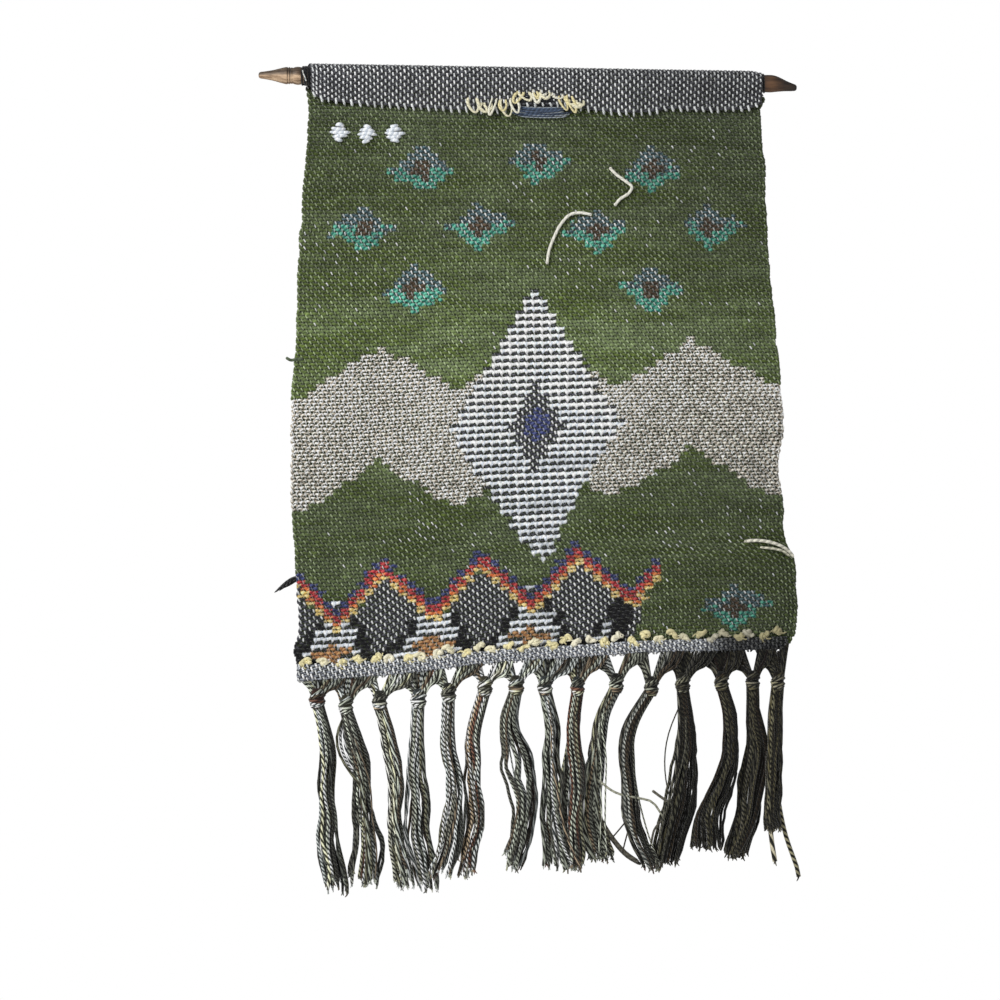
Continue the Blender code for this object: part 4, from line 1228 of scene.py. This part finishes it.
    def add_knot(self):
        """The knot: diagonal wraps over paler level ones, round a firm core."""
        row = self.row
        dark, _ = self.shade()
        core = [(row.x, HEAD_Y, ring.rise - row.drop) for ring in KNOT_CORE]
        radii = np.array([ring.radius for ring in KNOT_CORE]) * row.girth
        self.strand(core, radii, dark, sides=8, pitch=6.0, shade=0.5)
        turns = np.linspace(0, math.tau, 17)
        for k, wrap in enumerate(KNOT_WRAPS):
            radius = (5.3 - 0.05 * (wrap.rise + 1) ** 2) * row.girth
            x = row.x + radius * np.cos(turns)
            y = HEAD_Y + 0.95 * radius * np.sin(turns)
            z = wrap.rise - row.drop + wrap.tilt * radius * np.cos(turns + 0.3 * k)
            # Painted light and shade: each wrap is lighter on its left and darker on its right, as if lit
            # from the left.
            pale = wrap.pale * (1.0 - 0.75 * np.cos(turns)) * KNOT_PALE.get(self.number, 1.0)
            self.add_yarn(np.stack([x, y, z], -1), WRAP_RADIUS, pale)

    def add_strays(self):
        """The stray yarns and locks."""
        rng = self.rng
        for stray in STRAYS:
            if stray.tassel != self.number:
                continue
            alone = stray.count == 1
            for k in range(stray.count):
                share = (k + 1) / stray.count
                t = np.linspace(0.06, max(stray.stop, 1.0) - 0.05 * rng.uniform(), STRAY_STEPS)
                away = np.clip((t - stray.start) / (stray.stop - stray.start), 0, 1)
                x = (self.row.x + interpolate(self.stations, t, "move") + share * stray.end * away ** 2
                     + share * stray.bow * np.sin(math.pi * away) + 0.5 * self.wave(t, 1, 3))
                depth = 0.0 if alone else rng.uniform(-2.0, 2.0)
                y = HEAD_Y - stray.front * (0.3 + 0.7 * ease(2.5 * t)) + depth + 1.5 * np.sin(4 * t)
                pale = (2.0 if stray.radius > THICK_CORD else 1.3) if alone else rng.uniform(0.5, 1.0)
                path = np.stack([x, y, self.level(t)], -1)
                self.add_yarn(path, stray.radius, pale)
                self.add_fray(path[-1])

    def dress(self, finish):
        """The whole tassel, in place of its solid."""
        self.add_strands()
        self.add_legs()
        if self.number in FILLED_TASSELS:
            self.add_fill()
        self.add_knot()
        self.add_strays()
        name = f"tassel_{self.number:02d}"
        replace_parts(self.build(name + "_yarn", finish, "fringe_yarn"), name)


# ---- knotted warp ends on the hem ----
WARP_KNOTS = 34
KNOT_FIRST_X = -171.0
KNOT_LAST_X = 206.0
KNOT_CREAMS = (tone(250, 243, 208), tone(248, 237, 184), tone(252, 246, 220))


def knot_path(rng, x, y, z):
    """A closed, lumpy tangle of yarn."""
    t = np.linspace(0, math.tau, 27)
    a, b, c, d = rng.uniform(0, math.tau, 4)
    across = rng.uniform(2.0, 3.1) * np.sin(t + a) + rng.uniform(0.8, 1.7) * np.sin(2 * t + b)
    up = rng.uniform(1.4, 2.2) * np.cos(t + c) + rng.uniform(0.5, 1.2) * np.sin(3 * t + d)
    return np.stack([x + across, y - 1.1 * np.sin(3 * t + b), z + up], -1)


def add_hem_knots(finish):
    """Lumpy knots in the cut warp ends, in an uneven row above the hem."""
    yarn = YarnSet(seed=7)
    rng = yarn.rng
    for k in range(WARP_KNOTS):
        share = (k / (WARP_KNOTS - 1)) ** 0.9
        x = KNOT_FIRST_X + (KNOT_LAST_X - KNOT_FIRST_X) * share + rng.uniform(-2.2, 2.2)
        hem_top = float(interpolate(BOTTOM_EDGE, x, "drop") - interpolate(BOTTOM_EDGE, x, "hem"))
        raised = 3.6 * (k % 2) if x > -60 else 0.0
        z = rng.uniform(-1.0, 1.6) - (hem_top - 0.6 - raised)
        y = float(relief(x, -z)) - CLOTH_THICKNESS / 2 - 2.0
        shaded = 1.0 - 0.55 * ease((x - 90) / 90)
        colour = KNOT_CREAMS[int(rng.integers(len(KNOT_CREAMS)))] * shaded
        path = knot_path(rng, x, y, z)
        yarn.strand(path, 1.75, colour, sides=5, pitch=9.0, shade=0.78, phase=rng.uniform())
        for _ in range(int(rng.integers(1, 4))):
            angle = -math.pi * rng.uniform(-0.2, 1.2)
            reach = rng.uniform(4.5, 8.0)
            path = [(x, y, z),
                    (x + 0.6 * reach * math.cos(angle), y - 0.8, z + 0.5 * reach * math.sin(angle)),
                    (x + reach * math.cos(angle + 0.4), y - rng.uniform(-0.6, 1.0),
                     z + 0.7 * reach * math.sin(angle + 0.4))]
            yarn.strand(smooth_route(path, 6), np.linspace(1.0, 0.5, 6), colour, sides=5, pitch=3.6,
                        shade=0.72)
    return yarn.build("hem_knots", finish, "white_yarn")


# ---- loops on the flap's edge ----
LOOP_CREAMS = (tone(244, 238, 206), tone(240, 228, 176), tone(250, 247, 228))
# Groups of long loops: their first and last x, their drops at the top and the bottom, how many.
LOOP_GROUPS = ((-46, -8, 19.5, 29.5, 7), (-8, 26, 10.5, 18.5, 7), (26, 44, 17.0, 25.5, 4))


def edge_loops(yarn):
    """Pale warp ends that hook under the edge of the flap, all along it."""
    rng = yarn.rng
    for warp in range(0, WARPS - 1, 2):
        at = (warp + 0.5) / WARPS
        lean, low = rng.uniform(0.1, 0.6) / WARPS, rng.uniform(0.5, 1.4)
        places = [(at, 1.1, 0.6), (at + 0.2 * lean, 0.4, 1.2), (at + 0.7 * lean, -0.4 * low, 1.3),
                  (at + lean, -0.75 * low, 0.5), (at + lean, -0.1, -0.8)]
        path = []
        for across, row, out in places:
            middle, normal = surface_frame(across, row)
            path.append(middle - normal * out)
        colour = WARP_TONE * rng.uniform(0.7, 1.1)
        yarn.strand(smooth_route(path, 8), rng.uniform(0.7, 1.0), colour, sides=4, pitch=3.0,
                    shade=0.7)


def ragged_loops(yarn, first_x, last_x, top, low, count):
    """Long uneven loops of cream warp that hang over the flap's edge."""
    rng = yarn.rng
    y = -FLAP_STANDOFF - 2.8
    for k in range(count):
        x = first_x + (last_x - first_x) * (k + rng.uniform(0.1, 0.9)) / count
        half = rng.uniform(1.6, 5.2)
        high = top + rng.uniform(-3.5, 2.5)
        deep = low + rng.uniform(-4.0, 1.5)
        lean = rng.uniform(-4.5, 4.5)
        middle_z = -(high + deep) / 2
        path = [(x - half * 0.7, y + 1.4, -high + 1.5), (x - half * 0.9, y, -high - 1.0),
                (x - half * 0.9 + 0.5 * lean, y - 0.8, middle_z),
                (x - 0.3 * half + lean, y - 1.0, -deep + 0.4), (x + 0.4 * half + lean, y - 0.8, -deep),
                (x + half * 0.9 + 0.5 * lean, y - 0.5, middle_z),
                (x + half * 0.8, y, -high - 1.0), (x + half * 0.7, y + 1.4, -high + 1.5)]
        colour = LOOP_CREAMS[int(rng.integers(len(LOOP_CREAMS)))]
        radii = rng.uniform(0.8, 1.25) * (1 + 0.2 * np.sin(np.linspace(0, 9, 18) + k))
        yarn.strand(smooth_route(path, 18), radii, colour, sides=5, pitch=3.0, shade=0.75,
                    phase=rng.uniform())


def add_flap_loops(finish):
    """The pale loops on the flap's edge, long and ragged in the middle."""
    yarn = YarnSet(seed=9)
    edge_loops(yarn)
    for group in LOOP_GROUPS:
        ragged_loops(yarn, *group)
    return yarn.build("flap_loops", finish, "white_yarn")


# ---- loose wool ----
FLOAT_BLUE = tone(74, 88, 110)
FLOAT_WHITE = tone(172, 181, 190)
# Nearly black wool, partly painted shade: behind the floats, in the flap's frayed middle and inside the
# casing's ends.
DARK_WOOL_AND_SHADE = tone(30, 32, 38)
# Floating wefts: those behind come first, nearly black as painted shade. Then dark picks laid
# bare on the frayed flap, partly painted shade behind its loops.
FLOATS = 16
FLOATS_BEHIND = 5
FRAYED_PICKS = 6
# Wool wound round the rod where it goes into the casing: first and last x, and turns. Its
# near-black colour is partly painted shade inside the casing's ends.
CASING_WRAPS = ((-179.8, -170.2, 9), (188.8, 184.5, 4))
# Yarn ends that stand out from the edges: a white strand at the casing, a green one at the left
# and two cream ones at the right; then strands of the fringe that lie across from one tassel to
# the next.
LOOSE_ENDS = table(
    "colour radius route",
    (tone(226, 228, 224), 0.5,
     [(-179.7, -7.9, 3.4), (-178.9, -9.0, 0.6), (-177.6, -9.2, -2.4), (-176.6, -8.4, -5.2)]),
    (tone(92, 104, 80), 1.2,
     [(-176.0, -1.2, -226.4), (-181.0, -1.6, -226.8), (-185.5, -1.4, -227.6), (-189.5, -1.2, -225.6)]),
    (tone(240, 237, 220), 1.35,
     [(178.0, -1.4, -366.6), (188.0, -2.6, -365.4), (199.0, -2.8, -366.4), (209.0, -1.2, -369.6),
      (216.5, 2.6, -374.6), (219.5, 4.8, -378.6)]),
    (tone(220, 218, 196), 1.0,
     [(192.0, -1.6, -371.0), (201.0, -2.4, -371.6), (210.0, -1.0, -373.4), (216.0, 2.4, -377.4)]),
    (tone(176, 176, 156), 0.95,
     [(66.0, -6.6, -558.6), (75.0, -8.4, -565.8), (84.0, -9.4, -569.7), (95.5, -9.6, -571.9),
      (109.0, -9.0, -575.3), (117.5, -6.8, -587.0)]),
    (tone(112, 108, 96), 1.1, [(108.9, -7.4, -566.3), (114.0, -7.2, -570.0), (121.0, -5.4, -575.0)]),
    (tone(64, 58, 52), 0.6, [(72.5, -6.0, -610.0), (80.0, -7.0, -601.5), (88.5, -6.4, -591.0)]),
    (tone(64, 58, 52), 0.6, [(86.0, -5.0, -616.0), (88.0, -6.4, -607.0), (90.5, -6.4, -597.0)]),
    (tone(96, 92, 80), 1.4,
     [(66.0, -3.0, -586.0), (76.0, -4.0, -602.0), (87.5, -4.2, -615.5), (99.0, -3.6, -623.6)]),
    (tone(80, 76, 66), 1.4,
     [(67.0, -1.0, -590.0), (78.0, -1.6, -607.0), (89.0, -1.8, -619.0), (101.0, -1.2, -626.0)]),
    (tone(96, 92, 82), 0.9,
     [(108.6, -5.6, -611.0), (109.6, -6.6, -603.0), (111.5, -6.8, -596.5), (117.0, -5.4, -590.0)]))


def floating_wefts(yarn):
    """Slate-blue weft that floats free below the flap's raised edge, with nearly black wool behind
    as painted shade.
    """
    rng = yarn.rng
    for k in range(FLOATS):
        behind = k < FLOATS_BEHIND
        start, end = rng.uniform(-14, -6), rng.uniform(26, 36)
        if behind:
            drop = 19.5 + 1.1 * k
        else:
            drop = 21.8 + 0.78 * (k - FLOATS_BEHIND) + rng.uniform(-0.5, 0.5)
        sag, depth = rng.uniform(0.3, 1.8), -1.9 if behind else -3.1
        path = [(start, 0.4 + depth, -drop + 0.8), (start + 5, depth, -drop - 0.3 * sag),
                ((start + end) / 2, depth - 0.4, -drop - sag), (end - 5, depth, -drop - 0.3 * sag),
                (end, 0.4 + depth, -drop + 0.8)]
        pale = rng.uniform() < 0.2 and not behind
        colour = DARK_WOOL_AND_SHADE if behind else FLOAT_WHITE if pale else FLOAT_BLUE
        colour = colour * math.exp(rng.normal(0, 0.3))
        radius = 1.0 if behind else 0.5 if pale else 0.75
        yarn.strand(smooth_route(path, 14), radius, colour, sides=5, pitch=3.6, shade=0.55,
                    phase=rng.uniform())


def frayed_picks(yarn):
    """Dark picks laid bare where the middle of the flap's edge is frayed, partly painted shade
    behind its loops.
    """
    rng = yarn.rng
    depth = -FLAP_STANDOFF - 1.9
    for k in range(FRAYED_PICKS):
        start, end = rng.uniform(-11, -5), rng.uniform(17, 23)
        z = -(11.5 + 1.35 * k)
        path = [(start, depth + 1.5, z), (start + 4, depth, z - rng.uniform(-0.6, 0.6)),
                (end - 4, depth, z - rng.uniform(-0.6, 0.6)), (end, depth + 1.5, z)]
        colour = DARK_WOOL_AND_SHADE * rng.uniform(0.7, 2.4)
        yarn.strand(smooth_route(path, 12), 0.85, colour, sides=4, pitch=3.6, shade=0.5)


def casing_wraps(yarn):
    """Dark wool wound round the rod where it goes into the casing. Its near-black colour is
    partly painted shade inside the casing's ends.
    """
    rng = yarn.rng
    turns = np.linspace(0, math.tau, 19)
    for first, last, count in CASING_WRAPS:
        for k, x in enumerate(np.linspace(first, last, count)):
            radius = ROD_RADIUS + 0.1 + 0.3 * k / (count - 1) + rng.uniform(0, 0.25)
            path = np.stack([x + rng.uniform(0.3, 0.9) * np.sin(turns + rng.uniform(0, 6)),
                             radius * np.cos(turns), radius * np.sin(turns)], -1)
            yarn.strand(path, 0.72, DARK_WOOL_AND_SHADE * rng.uniform(0.3, 0.8), sides=5, pitch=5.0, shade=0.6)


def edge_ends(yarn):
    """The loose yarn ends at the edges."""
    for end in LOOSE_ENDS:
        radii = np.full(14, end.radius)
        radii[0] = radii[-1] = 0.6 * end.radius
        yarn.strand(smooth_route(end.route, len(radii)), radii, end.colour, sides=6, pitch=5.0,
                    shade=0.6)


def add_loose_wool(finish):
    """All the wool that hangs loose on the cloth and the rod."""
    yarn = YarnSet(seed=12)
    floating_wefts(yarn)
    frayed_picks(yarn)
    casing_wraps(yarn)
    edge_ends(yarn)
    return yarn.build("loose_wool", finish, "woven_wool")


# ---- fluffy white diamonds ----
FLUFFS = table("x drop", (-150, 45), (-128, 46), (-106, 45))
FLUFF_HALF = 8.5
FLUFF_ROWS = 5
FLUFF_PITCH = 2.9
FLUFF_RADIUS = 1.75


def add_fluffs(finish):
    """Small diamonds of thick white roving, laid over the face of the cloth."""
    yarn = YarnSet(seed=15)
    rng = yarn.rng
    t = np.linspace(-1, 1, 9)
    arch = np.sqrt(np.clip(1 - t * t, 0, 1))
    for fluff in FLUFFS:
        for k in range(FLUFF_ROWS):
            level = k - (FLUFF_ROWS - 1) / 2
            half = FLUFF_HALF * (1 - abs(level) / (FLUFF_ROWS / 2 + 0.6)) * rng.uniform(0.85, 1.1)
            drop = fluff.drop + FLUFF_PITCH * level
            x = fluff.x + rng.uniform(-0.8, 0.8)
            y = relief(x, drop) - 1.2 - 1.9 * arch
            z = -drop + 0.5 * np.sin(2.4 * t + rng.uniform(0, 6))
            path = np.stack([x + half * t, y, z], -1)
            yarn.add(rings_along(path, FLUFF_RADIUS * (0.35 + 0.65 * arch), 6),
                     4.0, YARNS["white"].dark * 0.9, YARNS["white"].light, rng.uniform())
    return yarn.build("white_fluffs", finish, "woven_wool")


# ---- roving ----
TUFT_START = np.array([-179.1, 0.0, -402.5])
TUFT_REACH = np.array([-16.5, -2.0, -11.0])
TUFT_RISE = np.array([0, 0, 4.0])
TUFT_FIBRES = 16


def add_roving_tuft(finish):
    """The fuzzy end of black roving that sticks out of the left edge."""
    yarn = YarnSet(seed=5)
    rng = yarn.rng
    t = np.linspace(0, 1, 9)[:, None]
    bulge = np.sin(math.pi * np.clip(0.25 + 0.6 * t, 0, 1))
    for _ in range(TUFT_FIBRES):
        angle = rng.uniform(0, math.tau)
        away = rng.uniform(0.4, 2.8)
        offset = np.array([0.3 * away, away * math.cos(angle), away * math.sin(angle)])
        wave = 0.7 * np.sin(math.tau * (t * rng.uniform(0.6, 1.6) + rng.uniform()))
        path = TUFT_START + TUFT_REACH * t * rng.uniform(0.72, 1.0) + offset * bulge
        path = path + TUFT_RISE * t * (1 - t) + wave * np.array([0.2, 0.6, 0.6]) * t
        radii = 0.95 * (1 - 0.8 * t[:, 0] ** 2)
        yarn.add(rings_along(path, radii, 5), 7.0, YARNS["roving"].dark, YARNS["roving"].light)
    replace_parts(yarn.build("roving_tuft_fibres", finish, "charcoal_roving"), "roving_tuft")


# ---- the whole ----
add_camera()
wool_finish, fringe_finish, cream_finish, roving_finish = [wool(*row) for row in WOOLS]
add_yarn_tails(cream_finish)
add_studio()
add_rod(turned_wood())
woven = weft_yarns(wool_finish) + warp_yarns(wool_finish)
laid_on = [add_hem_knots(cream_finish), add_flap_loops(cream_finish), add_loose_wool(wool_finish),
           add_fluffs(wool_finish)]
cloth_ground(gap_shade_sheet())
for tassel_number in range(1, len(TASSELS) + 1):
    Tassel(tassel_number).dress(fringe_finish)
add_roving_tuft(roving_finish)
